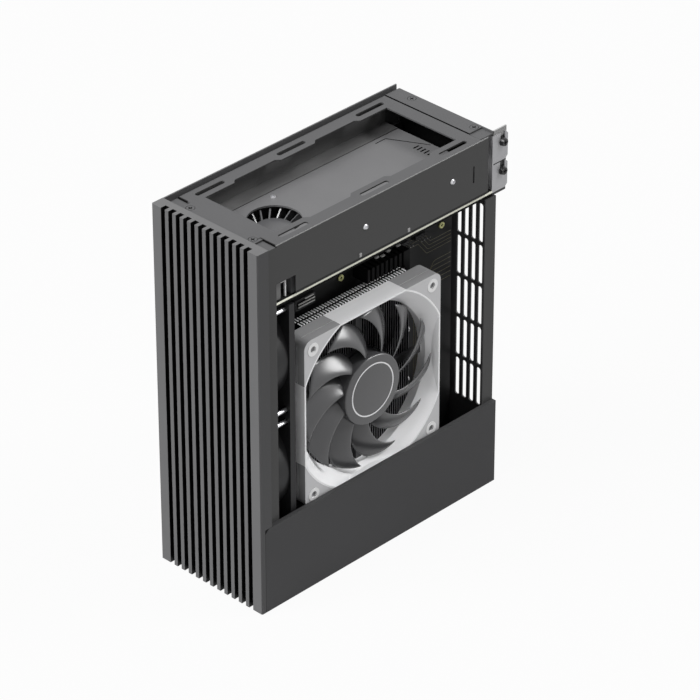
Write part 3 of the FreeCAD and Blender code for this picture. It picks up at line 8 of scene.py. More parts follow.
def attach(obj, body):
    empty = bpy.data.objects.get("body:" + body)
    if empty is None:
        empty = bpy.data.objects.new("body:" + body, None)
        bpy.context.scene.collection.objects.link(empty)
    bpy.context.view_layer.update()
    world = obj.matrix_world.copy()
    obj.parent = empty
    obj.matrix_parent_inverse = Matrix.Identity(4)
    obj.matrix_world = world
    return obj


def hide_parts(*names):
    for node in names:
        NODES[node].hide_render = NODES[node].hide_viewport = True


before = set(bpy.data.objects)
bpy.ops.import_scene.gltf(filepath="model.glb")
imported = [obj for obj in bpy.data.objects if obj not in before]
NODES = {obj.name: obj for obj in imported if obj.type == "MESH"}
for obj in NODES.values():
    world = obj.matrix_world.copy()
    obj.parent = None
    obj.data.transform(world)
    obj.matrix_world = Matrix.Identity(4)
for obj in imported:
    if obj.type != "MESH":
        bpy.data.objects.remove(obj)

# Sizes in millimetres, in the frame of the case: +X to the open side, -Y to the front, +Z up.
MM = 0.001
UPWARDS = Matrix.Identity(3)
DOWNWARDS = Matrix.Rotation(math.radians(180), 3, "X")
TO_SIDE = Matrix.Rotation(math.radians(90), 3, "Y")
TO_FRONT = Matrix.Rotation(math.radians(90), 3, "X")
TO_REAR = Matrix.Rotation(math.radians(-90), 3, "X")

# Case.
CASE_TOP = 257.0
CASE_REAR = 105.5
SLAB_BACK = -96.2
GROOVE_MOUTH = -105.2
GROOVE_HALF_SPAN = 40.0
LEFT_PANEL_OUTER = -45.0
LEFT_PANEL_INNER = -42.0
LEFT_PANEL_LIP = 1.0
LEFT_PANEL_REBATE = 252.4
LEFT_PANEL_EDGE = 0.2

# Bay, with its rim, right wall, left ledge and hook. Pairs are limits.
RIM_LEVEL = 253.5
RIM_SHEET_FACE = 254.0
RIM_SEAMS = (((-44.6, -33.2), (-87.2, -86.0)), ((28.6, 41.9), (-87.2, -86.1)),
             ((28.2, 28.8), (-94.2, -86.1)))
REAR_GAP = (90.5, 94.0)
FOLD_CORNER = (41.3, 254.5)
WALL_FACE = 41.8
WALL_INNER = 40.6
WALL_SHADE_BAND = (214.0, 217.0)
WALL_ENDS = (-86.7, 98.0)
LEDGE_SIDE = -24.0
LEDGE_ENDS = (-86.0, 103.9)
LEDGE_HEIGHT = (214.4, 253.0)
HOOK_PLATE = (37.4, 38.8)
HOOK_END = -70.0
HOOK_BEND = -80.1
HOOK_TOP = 226.3
HOOK_ROOT = 250.0
TAB_CORNER = (37.0, 105.6, 249.5)
BRACKET_TAB_INNER = 36.5

# Fans.
CPU_FAN_PLACE = (26.0, -3.2, 116.5)
CPU_FAN_DEPTH = 15.0
CPU_FAN_START = 17.0
CPU_BLADES = 11
CPU_HUB_RADIUS = 24.0
CPU_TIP_RADIUS = 55.1
CPU_CHORD_SHARE = 0.68
CPU_SWEEP = 30.0
FRONT_FAN_PLACES = {"lower": (0.0, -70.2, 88.0), "upper": (0.0, -70.2, 168.0)}
FRONT_FAN_DEPTH = 25.0
FRONT_FAN_HOLE = 35.75
FRONT_BLADES = 7
FRONT_HUB_RADIUS = 15.0
FRONT_TIP_RADIUS = 36.7
FRONT_CHORD_SHARE = 0.7
FRONT_SWEEP = 24.0
STRUT_DEPTH = 2.4
STRUT_REACH = 55.5
BLADE_LIFT = 1.6
BLADE_THICKNESS = 1.3
BLADE_ROOT_SINK = 0.75
BLADE_CUTS = {"Vertices_X": 22, "Vertices_Y": 13, "Vertices_Z": 4}
BLADE_TIP_DROP = 0.14
BLADE_BOW = 0.12
BLADE_EDGE_THINNING = 0.92
BLADE_SWEEP_EASE = 0.4
HUB_SINK = 0.4
HUB_RIM = 0.9
HUB_RIM_BENDS = (22.5, 45.0, 67.5, 90.0)
HUB_WALL = 1.5
SHAFT_RADIUS = 1.5
HUB_RING_RADIUS = 18.0
HUB_RING_HALF_WIDTH = 0.45
HUB_RING_RISE = 0.05
HUB_RING_FOOT = 0.1
TURNED_SEGMENTS = 128
TURNED_CORNER = 35.0
TURNED_WELD = 1e-7

# Motherboard and cooler.
BOARD_FACE = 8.0
BOARD_SCREW_RECESS = 8.6
BOARD_HOLES = ((91.84, 181.65), (68.98, 24.35), (-63.1, 181.65), (-63.1, 24.35), (1.4, 181.65))
# Tracks in a bundle, the step between them, and the route of the first as (along, height), each
# with the share of the step by which the next track lies lower.
TRACK_BUNDLES = (
    (6, 3.4, ((101.0, 0.0, 158.0, 1.0), (86.0, 0.5, 158.0, 1.0), (76.0, 0.5, 146.0, 1.0),
              (76.0, 0.5, 74.0, 0.0))),
    (4, 2.6, ((58.0, 0.0, 184.0, 1.0), (74.0, 0.4, 184.0, 1.0), (82.0, 0.4, 174.0, 1.0),
              (101.0, 0.0, 174.0, 1.0))))
TRACK_RADIUS = 0.2
TRACK_CORNER = 2.0
HEADER_PLACES = (54.5, 70.0)
HEADER_LEVEL = 183.4
HEADER_PINS = 4
HEADER_PITCH = 2.54
FIN_FIRST = -50.4
FIN_TOP = 176.5
# The fin end tabs are near white as a painted highlight.
FIN_TAB_ROWS = (18.5, 23.8)
FIN_TAB_START = 0.6
FIN_TAB_SINK = 0.1
FIN_TAB_PITCH = 2.4
FIN_TAB_COUNT = 39
SINK_TOP = 186.7
SINK_PART_PLACES = ((13.9, 27.7), (15.2, 31.6), (13.4, 38.4), (13.4, 47.4))
SOCKET_BARS = (("upper", (-36.3, -29.0), 185.8), ("middle", (-42.0, -28.0), 183.6),
               ("lower", (-42.0, -28.0), 181.5))
SOCKET_BAR_SIDES = (14.8, 15.4)
SOCKET_BAR_HALF = 0.4

# Graphics card.
CARD_UNDERSIDE = 212.6
# Painted shade: a black strip under the card's near edge.
CARD_SHADE_STRIP_SIDES = (38.3, 40.1)
CARD_SHADE_STRIP_ENDS = (-85.0, 103.4)
CARD_SHADE_STRIP_LOW = 210.9
CARD_CHIP_COUNT = 19
CARD_CHIP_FIRST = (33.0, -52.0)
CARD_CHIP_STAGGER = 2.2
CARD_CHIP_PITCH = 7.4
CARD_CHIP_HALF = 1.45
SHROUD_TOP = 239.0
# Painted shade: the crease in the shroud's top, and a black line along its route.
CREASE_HEIGHT = (238.4, 238.95)
CREASE_SIDES = (-24.0, 8.0)
CREASE_ENDS = (60.0, 87.8)
CREASE_ROUTE = ((-22.4, 64.0, 238.75), (-22.4, 73.0, 238.75), (3.2, 86.6, 238.75))
CREASE_RADIUS = 0.45
CREASE_CORNER = 0.5

# Screws and small blocks.
RIM_SCREW_SIDES = (-26.6, 26.6)
RIM_SCREW_ENDS = (-91.0, 100.9)
RIM_SCREW_RECESS = 254.8
WALL_SCREW_PLACES = ((-10.9, 236.4), (65.7, 236.4))
SLOT_SCREW_PLACES = ((40.0, 112.7, 225.15), (40.0, 112.7, 245.47))
SHROUD_SCREW_PLACES = ((-20.6, -27.5), (33.1, -27.5))
SHANK_OVERLAP = 0.2
CRISP_CORNER = 30.0
CLIP_PLACES = (-15.6, 26.6)
CLIP_LEVEL = 218.6
CLIP_SINK = 0.05
BLOCK_DRAFT = 0.84
NO_STEP = (0.0, 0.0, 0.0)

# Finishes and studio.
FACING = 0.5
GRAIN_DEPTH = 0.0002
ROUGHNESS_SPREAD = 0.06
COAT_ROUGHNESS = 0.28
# Settled dusting on what faces up, partly a painted sheen that lightens top faces.
DUST_AND_SHEEN_COLOUR = (0.4, 0.39, 0.37)
DUST_AND_SHEEN_FACING = 0.6
SHEET_GREY = (0.07, 0.07, 0.072)
WORLD_LEVEL = 0.34
FLOOR_GREY = (0.3, 0.3, 0.3)
FLOOR_ROUGHNESS = 0.9
FLOOR_GLOW = 0.95
FLOOR_REACH = 12.0
FLOOR_LEVEL = -0.0005
# Name, direction towards the lamp, strength, spread in degrees.
LAMPS = (
    ("key_lamp", (-0.22, -0.67, 0.71), 4.9, 40.0), ("rear_lamp", (0.55, 0.8, 0.2), 0.15, 22.0),
    ("edge_lamp", (0.44, 0.48, 0.76), 1.6, 20.0), ("gloss_lamp", (0.63, 0.72, 0.2), 1.9, 26.0))
GLOSS_ONLY = "gloss_lamp"
# Camera of the photograph; angles in degrees.
CAMERA_PLACE = (1571.4, -1587.9, 1510.9)
CAMERA_AZIMUTH = 44.375
CAMERA_ELEVATION = 31.792
CAMERA_ROLL = -0.076
CAMERA_LENS = 216.9
CAMERA_SENSOR = 36.0
CAMERA_FAR = 50.0

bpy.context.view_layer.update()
scene = bpy.context.scene


# Node trees: small helpers to place nodes and to calculate with their values.

class Value:
    """A number in a node tree that can be added, multiplied and so on."""

    def __init__(self, tree, socket):
        self.tree = tree
        self.socket = socket

    def step(self, operation, *others):
        made = self.tree.nodes.new("ShaderNodeMath")
        made.operation = operation
        for socket, item in zip(made.inputs, (self, *others)):
            feed(self.tree, socket, item)
        return Value(self.tree, made.outputs[0])

    def __add__(self, other):
        return self.step("ADD", other)

    def __sub__(self, other):
        return self.step("SUBTRACT", other)

    def __mul__(self, other):
        return self.step("MULTIPLY", other)

    def __truediv__(self, other):
        return self.step("DIVIDE", other)


def feed(tree, socket, item):
    """Links a value or an output to a socket, or sets the socket to a plain number."""
    if isinstance(item, Value):
        tree.links.new(item.socket, socket)
    elif isinstance(item, bpy.types.NodeSocket):
        tree.links.new(item, socket)
    else:
        socket.default_value = item


def place(tree, kind, settings=None, **inputs):
    """A new node with its settings, and its inputs fed by name (spaces written as _)."""
    made = tree.nodes.new(kind)
    for name, value in (settings or {}).items():
        setattr(made, name, value)
    for name, item in inputs.items():
        feed(tree, made.inputs[name.replace("_", " ")], item)
    return made


# Finishes.

def coordinates(tree):
    return place(tree, "ShaderNodeTexCoord").outputs["Object"]


def effect(name, inputs, outputs):
    """An empty shader group with named value inputs and outputs."""
    tree = bpy.data.node_groups.new(name, "ShaderNodeTree")
    for label, default in inputs:
        socket = tree.interface.new_socket(label, in_out="INPUT", socket_type="NodeSocketFloat")
        socket.default_value = default
    for label in outputs:
        tree.interface.new_socket(label, in_out="OUTPUT", socket_type="NodeSocketFloat")
    entry = tree.nodes.new("NodeGroupInput")
    leave = tree.nodes.new("NodeGroupOutput")
    return tree, entry, leave


def powder_grain():
    """The fine orange-peel grain of a coated or moulded surface, with slow patches of tone."""
    tree, entry, leave = effect(
        "powder_grain", (("Grain Scale", 2500.0), ("Patch Scale", 30.0)), ("Grain", "Patches"))
    where = coordinates(tree)
    grain = place(tree, "ShaderNodeTexNoise", Vector=where, Scale=entry.outputs["Grain Scale"],
                  Detail=2.0)
    patches = place(tree, "ShaderNodeTexNoise", Vector=where, Scale=entry.outputs["Patch Scale"],
                    Detail=3.0)
    tree.links.new(grain.outputs[0], leave.inputs["Grain"])
    tree.links.new(patches.outputs[0], leave.inputs["Patches"])
    return tree


def brushed_lines():
    """Fine parallel scratches along the upright direction, as rolled or drawn metal has."""
    tree, entry, leave = effect(
        "brushed_lines", (("Line Scale", 900.0), ("Stretch", 0.02)), ("Lines",))
    stretch = place(tree, "ShaderNodeCombineXYZ", X=1.0, Y=1.0, Z=entry.outputs["Stretch"])
    turned = place(tree, "ShaderNodeVectorMath", {"operation": "MULTIPLY"})
    tree.links.new(coordinates(tree), turned.inputs[0])
    tree.links.new(stretch.outputs[0], turned.inputs[1])
    noise = place(tree, "ShaderNodeTexNoise", Vector=turned.outputs[0],
                  Scale=entry.outputs["Line Scale"], Detail=3.0)
    tree.links.new(noise.outputs[0], leave.inputs["Lines"])
    return tree


def settled_dust_and_sheen():
    """A thin mask on what faces up: partly a settled dusting, partly a painted sheen that lightens
    top faces.
    """
    tree, entry, leave = effect(
        "settled_dust_and_sheen", (("Dust Scale", 90.0), ("Amount", 0.3)), ("Dust And Sheen",))
    normal = place(tree, "ShaderNodeNewGeometry").outputs["Normal"]
    split = place(tree, "ShaderNodeSeparateXYZ", Vector=normal)
    up = place(tree, "ShaderNodeMapRange", Value=split.outputs["Z"])
    up.inputs["From Min"].default_value = DUST_AND_SHEEN_FACING
    noise = place(tree, "ShaderNodeTexNoise", Vector=coordinates(tree),
                  Scale=entry.outputs["Dust Scale"], Detail=6.0)
    mask = (Value(tree, up.outputs[0]) * Value(tree, noise.outputs[0])
            * Value(tree, entry.outputs["Amount"]))
    tree.links.new(mask.socket, leave.inputs["Dust And Sheen"])
    return tree


GRAIN = powder_grain()
LINES = brushed_lines()
DUST_AND_SHEEN = settled_dust_and_sheen()


def grouped(tree, group, **inputs):
    return place(tree, "ShaderNodeGroup", {"node_tree": group}, **inputs)


def opaque(colour):
    return (*colour, 1.0)


def mixed(tree, share, first, second):
    """Two colours mixed by a share from 0 to 1; the node's colour sockets are 6 and 7."""
    mix = place(tree, "ShaderNodeMix", {"data_type": "RGBA"})
    for socket, item in ((0, share), (6, first), (7, second)):
        feed(tree, mix.inputs[socket], item)
    return mix.outputs[2]


def ramp(tree, value, low, high):
    """A value from 0 to 1 spread between two colours or two numbers."""
    if isinstance(low, tuple):
        return mixed(tree, value, opaque(low), opaque(high))
    spread = place(tree, "ShaderNodeMapRange")
    feed(tree, spread.inputs["Value"], value)
    spread.inputs["To Min"].default_value = low
    spread.inputs["To Max"].default_value = high
    return spread.outputs[0]


def shade(colour, factor):
    return tuple(channel * factor for channel in colour)


def finish(name, colour, roughness, metallic=0.0, specular=0.3, bump=0.04, tone=0.08, dust_and_sheen=0.0,
           lines=0.0, coat=0.0):
    """A coated, moulded or metal finish with grain, patches of tone, and a little settled dusting
    on what faces up that is partly a painted sheen.
    """
    material = bpy.data.materials.new(name)
    material.use_nodes = True
    tree = material.node_tree
    shader = tree.nodes["Principled BSDF"]
    surface = grouped(tree, GRAIN)
    patches = surface.outputs["Patches"]
    base = ramp(tree, patches, shade(colour, 1.0 - tone), shade(colour, 1.0 + tone))
    if dust_and_sheen:
        mask = grouped(tree, DUST_AND_SHEEN, Amount=dust_and_sheen).outputs["Dust And Sheen"]
        base = mixed(tree, mask, base, opaque(DUST_AND_SHEEN_COLOUR))
    tree.links.new(base, shader.inputs["Base Color"])
    height = surface.outputs["Grain"]
    rough_by = patches
    if lines:
        scratches = grouped(tree, LINES, Line_Scale=lines).outputs["Lines"]
        height = scratches
        rough_by = scratches
    uneven = ramp(tree, rough_by, roughness - ROUGHNESS_SPREAD, roughness + ROUGHNESS_SPREAD)
    tree.links.new(uneven, shader.inputs["Roughness"])
    relief = place(tree, "ShaderNodeBump", Strength=bump, Distance=GRAIN_DEPTH)
    tree.links.new(height, relief.inputs["Height"])
    tree.links.new(relief.outputs[0], shader.inputs["Normal"])
    shader.inputs["Metallic"].default_value = metallic
    shader.inputs["Specular IOR Level"].default_value = specular
    shader.inputs["Coat Weight"].default_value = coat
    shader.inputs["Coat Roughness"].default_value = COAT_ROUGHNESS
    return material


def second_colour(material, mask_of, colour):
    """Gives a finish another colour where a mask over the piece says so."""
    tree = material.node_tree
    shader = tree.nodes["Principled BSDF"]
    base = shader.inputs["Base Color"].links[0].from_socket
    spot = place(tree, "ShaderNodeSeparateXYZ", Vector=coordinates(tree))
    across, along, height = (Value(tree, spot.outputs[axis]) for axis in "XYZ")
    masked = mixed(tree, mask_of(tree, across, along, height), base, opaque(colour))
    tree.links.new(masked, shader.inputs["Base Color"])
    return material


# Masks over the pieces, for second colours.

def normal_share(tree, axis):
    """How much the surface faces along an axis, either way, from 0 to 1."""
    normal = place(tree, "ShaderNodeNewGeometry").outputs["True Normal"]
    split = place(tree, "ShaderNodeSeparateXYZ", Vector=normal)
    return Value(tree, split.outputs[axis]).step("ABSOLUTE")


def facing(tree, axis):
    """1 where the surface faces along an axis, either way, and 0 elsewhere."""
    return normal_share(tree, axis).step("GREATER_THAN", FACING)


def above(value, level):
    return value.step("GREATER_THAN", level * MM)


def below(value, level):
    return value.step("LESS_THAN", level * MM)


def within(value, low, high):
    """1 where a coordinate lies between two limits in millimetres, and 0 elsewhere."""
    return above(value, low) * below(value, high)


def upright(tree, across, along, height):
    """What stands upright, such as the cut edges of a board that lies flat."""
    return normal_share(tree, "Z").step("LESS_THAN", FACING)


def groove_painted_shade(tree, across, along, height):
    """Painted shade: the walls and floors of the front grooves are near black, but not the tops of
    the fins.
    """
    between = below(across.step("ABSOLUTE"), GROOVE_HALF_SPAN)
    return upright(tree, across, along, height) * above(along, GROOVE_MOUTH) * between


def wall_foot_shade(tree, across, along, height):
    """Painted shade: a dark band along the lower edge of the bay's right wall."""
    return within(height, *WALL_SHADE_BAND) * within(along, *WALL_ENDS) * above(across, WALL_INNER)


def hook_plate(tree, across, along, height):
    """The plate of the hook at the front end of the bay's right wall."""
    return within(across, *HOOK_PLATE) * below(along, HOOK_END) * below(height, HOOK_ROOT)


def hook_leg_highlight(tree, across, along, height):
    """The bent end of the hook, painted light grey as a painted highlight."""
    plate = hook_plate(tree, across, along, height)
    return plate * above(along, HOOK_BEND) * below(height, HOOK_TOP)


def rim_seams(tree, across, along, height):
    """The slits between the rim of the bay, the front frame and the rear flange."""
    slits = within(along, *REAR_GAP) * facing(tree, "Y")
    for sides, ends in RIM_SEAMS:
        slits = slits.step("MAXIMUM", within(across, *sides) * within(along, *ends))
    return slits * above(height, RIM_LEVEL)


def fold_highlight(tree, across, along, height):
    """A painted highlight: the light line along the fold between the rim of the bay and its right
    wall.
    """
    side, level = FOLD_CORNER
    return above(across, side) * above(height, level)


def left_ledge_painted_light(tree, across, along, height):
    """Painted light: the inner left wall of the bay and the ledge at its foot, lighter than the
    rest of the sheet.
    """
    inside = within(along, *LEDGE_ENDS) * within(height, *LEDGE_HEIGHT)
    return below(across, LEDGE_SIDE) * inside


def tab_corner(tree, across, along, height):
    """A lighter corner of the rear sheet above the screw tabs."""
    side, start, level = TAB_CORNER
    return above(along, start) * above(height, level) * above(across, side)


def shroud_crease_shade(tree, across, along, height):
    """Painted shade in the crease in the top of the card's shroud, floor and walls."""
    area = within(across, *CREASE_SIDES) * within(along, *CREASE_ENDS)
    return area * within(height, *CREASE_HEIGHT)


def painted_side_shading(tree, across, along, height):
    """What faces the left or the right of the case, for light and shade painted onto the sides."""
    return facing(tree, "X")


def bracket_plate_shade(tree, across, along, height):
    """Painted shade: the upright plate of the slot bracket, without its screw tabs, is near black.
    """
    return below(across, BRACKET_TAB_INNER)


def rim_screw_recess_shade(tree, across, along, height):
    """Painted shade on the floor of a rim screw's recess, and on the head below that level."""
    return below(height, RIM_SCREW_RECESS)


def board_screw_recess_shade(tree, across, along, height):
    """Painted shade on the floor of a board screw's recess, between the board and the top of the
    head.
    """
    return within(across, BOARD_FACE, BOARD_SCREW_RECESS)


def duct_painted_shade(tree, across, along, height):
    """Painted shade: the struts and the motor plate within the duct of the processor fan are dark.
    """
    aside = along - CPU_FAN_PLACE[1] * MM
    higher = height - CPU_FAN_PLACE[2] * MM
    radius = (aside * aside + higher * higher).step("SQRT")
    return below(radius, STRUT_REACH)


FINISHES = {
    # Painted shade: the front's sides take a darker copy of its colour.
    "front_alloy": second_colour(second_colour(
        finish("anodised_front", (0.104, 0.104, 0.106), 0.42, specular=0.1, dust_and_sheen=0.04),
        # Painted shade: the front's grooves are near black.
        painted_side_shading, (0.074, 0.074, 0.076)), groove_painted_shade, (0.004, 0.004, 0.004)),
    "panel_alloy": finish("anodised_panel", (0.057, 0.057, 0.059), 0.4, specular=0.1, dust_and_sheen=0.04),
    "black_sheet": finish(
        "powder_coated_sheet", SHEET_GREY, 0.4, specular=0.05, bump=0.05, coat=0.2),
    # Painted shade: the bracket's plate is near black; its screw tabs keep the steel colour.
    "bracket_steel": second_colour(
        finish("bracket_steel", (0.36, 0.36, 0.37), 0.42, metallic=0.5, lines=900.0),
        bracket_plate_shade, (0.006, 0.006, 0.006)),
    "fan_black": finish("fan_frame_black", (0.016, 0.016, 0.017), 0.45, specular=0.2),
    "blade_dark": finish(
        "fan_blade_charcoal", (0.066, 0.066, 0.069), 0.24, specular=0.6, bump=0.01),
    # Painted shade: the light frame is dark within its duct, behind the blades.
    "frame_light": second_colour(
        finish("fan_frame_light", (0.93, 0.93, 0.94), 0.4, tone=0.02),
        duct_painted_shade, (0.07, 0.07, 0.073)),
    # Painted light: the pads are lighter on their sides than on their tops.
    "pad_grey": second_colour(
        finish("fan_pad_rubber", (0.34, 0.34, 0.345), 0.7, specular=0.15, bump=0.1),
        painted_side_shading, (0.6, 0.6, 0.61)),
    "bush_white": finish("fan_bush_white", (0.85, 0.85, 0.85), 0.5, tone=0.03),
    "screw_dark": finish("black_oxide", (0.02, 0.02, 0.021), 0.3, metallic=0.3, specular=0.5),
    "screw_bright": finish("bright_zinc", (0.62, 0.62, 0.64), 0.28, metallic=0.8),
    # Painted shade: the board screws are dark in their recesses.
    "board_brass": second_colour(
        finish("plated_brass", (1.0, 1.0, 0.5), 0.35), board_screw_recess_shade, (0.05, 0.05, 0.01)),
    "board_black": finish("solder_mask_black", (0.012, 0.012, 0.0125), 0.45, specular=0.2),
    "card_board": second_colour(
        finish("card_board", (0.012, 0.013, 0.012), 0.5, specular=0.25, bump=0.02),
        upright, (1.0, 1.0, 0.86)),
    "chip_lid": finish("chip_lid_nickel", (0.6, 0.6, 0.6), 0.3, metallic=1.0),
    "socket_black": finish("socket_black", (0.02, 0.02, 0.021), 0.5, specular=0.25),
    # Painted shade and painted highlight: the fins' faces are near black, and their edges, which
    # face the sides, lighter.
    "fin_metal": second_colour(
        finish("fin_shaded_sheet", (0.012, 0.012, 0.0125), 0.4, metallic=0.2, specular=0.1,
               bump=0.01),
        painted_side_shading, (0.3, 0.3, 0.31)),
    "sink_black": finish("sink_black_anodised", (0.006, 0.006, 0.0063), 0.5, specular=0.06),
    "pipe_nickel": finish("pipe_nickel", (0.96, 0.96, 0.97), 0.14, metallic=1.0, bump=0.0),
    "base_metal": finish("base_machined", (0.5, 0.5, 0.51), 0.35, metallic=1.0, lines=700.0),
    # Painted shade: the crease in the shroud is near black.
    "shroud_plastic": second_colour(
        finish("shroud_satin", (0.108, 0.108, 0.111), 0.45, specular=0.15, dust_and_sheen=0.04),
        shroud_crease_shade, (0.003, 0.003, 0.003)),
    "supply_metal": finish("supply_black", (0.04, 0.04, 0.042), 0.5, specular=0.2),
}
# Later masks lie over earlier ones. Painted shade: darker sides, and a dark band at the foot of the
# right wall.
# Painted highlights on the hook's leg and along the fold, and painted light on the left wall and
# ledge.
for mask, grey in ((painted_side_shading, 0.06), (wall_foot_shade, 0.014), (rim_seams, 0.003), (hook_plate, 0.17),
                   (hook_leg_highlight, 0.75), (fold_highlight, 0.15), (tab_corner, 0.3), (left_ledge_painted_light, 0.125)):
    second_colour(FINISHES["black_sheet"], mask, (grey, grey, grey))
RING_WHITE = finish("hub_ring_white", (0.85, 0.85, 0.86), 0.45, tone=0.02)
BOARD_LINE = finish("board_line_tan", (0.11, 0.1, 0.06), 0.5)
CHIP_BODY = finish("chip_body_tan", (0.1, 0.085, 0.06), 0.5)
CHIP_END = finish("chip_end_tin", (0.3, 0.3, 0.3), 0.4, metallic=0.5)
# Painted highlight: the tabs along the fin ends are near white.
FIN_EDGE_HIGHLIGHT = finish("fin_edge_painted_highlight", (0.94, 0.94, 0.95), 0.3, specular=0.5, bump=0.01)
# Painted light: the left panel takes a lighter copy of the anodised panel finish.
LEFT_PANEL = finish("anodised_left_panel_lit", (0.09, 0.09, 0.092), 0.4, specular=0.1, dust_and_sheen=0.04)
CONTACT_GREY = finish("contact_bar_grey", (0.62, 0.62, 0.6), 0.4)
# Painted shade: near black for the strip under the card and the line in the shroud's crease.
PAINTED_SHADE_BLACK = finish("painted_shade_black", (0.003, 0.003, 0.003), 0.6, specular=0.05)
PIN_GREY = finish("fan_pin_grey", (0.2, 0.2, 0.205), 0.4, metallic=0.3)
# Painted shade: the rim screws are near black in their recesses and on their sunk sides.
RIM_SCREW = second_colour(
    finish("rim_screw_black", (0.06, 0.06, 0.062), 0.4), rim_screw_recess_shade, (0.004, 0.004, 0.004))

NODES_OF_SLOT = {
    "front_alloy": ("front_panel",),
    "panel_alloy": ("lower_cover", "left_side_panel"),
    "black_sheet": ("front_frame", "bay_frame", "rear_panel", "board_tray"),
    "bracket_steel": ("gpu_bracket",),
    "fan_black": ("front_fan_frame_upper", "front_fan_frame_lower", "gpu_blower_motor"),
    "blade_dark": ("front_fan_rotor_upper", "front_fan_rotor_lower", "cpu_fan_rotor",
                   "gpu_blower_rotor"),
    "frame_light": ("cpu_fan_frame",),
    "pad_grey": ("cpu_fan_corner_pads",),
    "bush_white": ("cpu_fan_bushes",),
    "screw_dark": ("frame_screws", "slot_screws", "cpu_fan_screws"),
    "screw_bright": ("bay_wall_screws", "front_fan_screws", "gpu_shroud_screws"),
    "board_brass": ("board_screws", "board_standoffs"),
    "board_black": ("motherboard", "memory_modules"),
    "card_board": ("gpu_board", "riser_card"),
    "chip_lid": ("cpu",),
    "socket_black": ("cpu_socket", "memory_slots", "board_power_socket", "riser_slot"),
    "fin_metal": ("fin_stack",),
    "sink_black": ("power_stage_cooler",),
    "pipe_nickel": ("heat_pipes",),
    "base_metal": ("cooler_base", "gpu_heat_sink"),
    "shroud_plastic": ("gpu_shroud",),
    "supply_metal": ("power_supply",),
}


def coat_nodes():
    """Gives each solid the finish of its slot, and two of them another."""
    for slot, names in NODES_OF_SLOT.items():
        for name in names:
            node = NODES[name]
            node.data.materials.clear()
            node.data.materials.append(FINISHES[slot])
    NODES["cpu_fan_screws"].data.materials[0] = PIN_GREY
    NODES["riser_card"].data.materials[0] = FINISHES["board_black"]


# Pieces made from node trees.

def shape_tree(name, inputs):
    """An empty geometry tree with named inputs, as (tree, {name: value}, its output node)."""
    tree = bpy.data.node_groups.new(name, "GeometryNodeTree")
    tree.interface.new_socket("Geometry", in_out="INPUT", socket_type="NodeSocketGeometry")
    for label, kind in inputs:
        tree.interface.new_socket(label, in_out="INPUT", socket_type="NodeSocket" + kind)
    tree.interface.new_socket("Geometry", in_out="OUTPUT", socket_type="NodeSocketGeometry")
    entry = tree.nodes.new("NodeGroupInput")
    leave = tree.nodes.new("NodeGroupOutput")
    values = {socket.name: Value(tree, socket) for socket in entry.outputs if socket.name}
    return tree, values, leave


def close_tree(tree, leave, geometry, material):
    """Ends a tree: instances made real, then the finish."""
    real = place(tree, "GeometryNodeRealizeInstances", Geometry=geometry)
    coat = place(tree, "GeometryNodeSetMaterial", Geometry=real.outputs[0], Material=material)
    tree.links.new(coat.outputs[0], leave.inputs[0])


def grown(name, tree, sizes, points=(), edges=()):
    """The mesh that a tree makes with these sizes from these points and edges."""
    places = bpy.data.meshes.new(name + "_places")
    places.from_pydata([Vector(p) * MM for p in points], edges, [])
    maker = bpy.data.objects.new(name + "_maker", places)
    scene.collection.objects.link(maker)
    modifier = maker.modifiers.new("shape", "NODES")
    modifier.node_group = tree
    for socket in tree.interface.items_tree:
        if socket.in_out == "INPUT" and socket.name in sizes:
            modifier[socket.identifier] = sizes[socket.name]
    graph = bpy.context.evaluated_depsgraph_get()
    mesh = bpy.data.meshes.new_from_object(maker.evaluated_get(graph))
    bpy.data.objects.remove(maker)
    bpy.data.meshes.remove(places)
    mesh.name = name
    return mesh


def piece(name, mesh, body, stands_for=()):
    """Puts a finished mesh in the scene on its body."""
    made = bpy.data.objects.new(name, mesh)
    scene.collection.objects.link(made)
    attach(made, body)
    if stands_for:
        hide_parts(*stands_for)
    return made


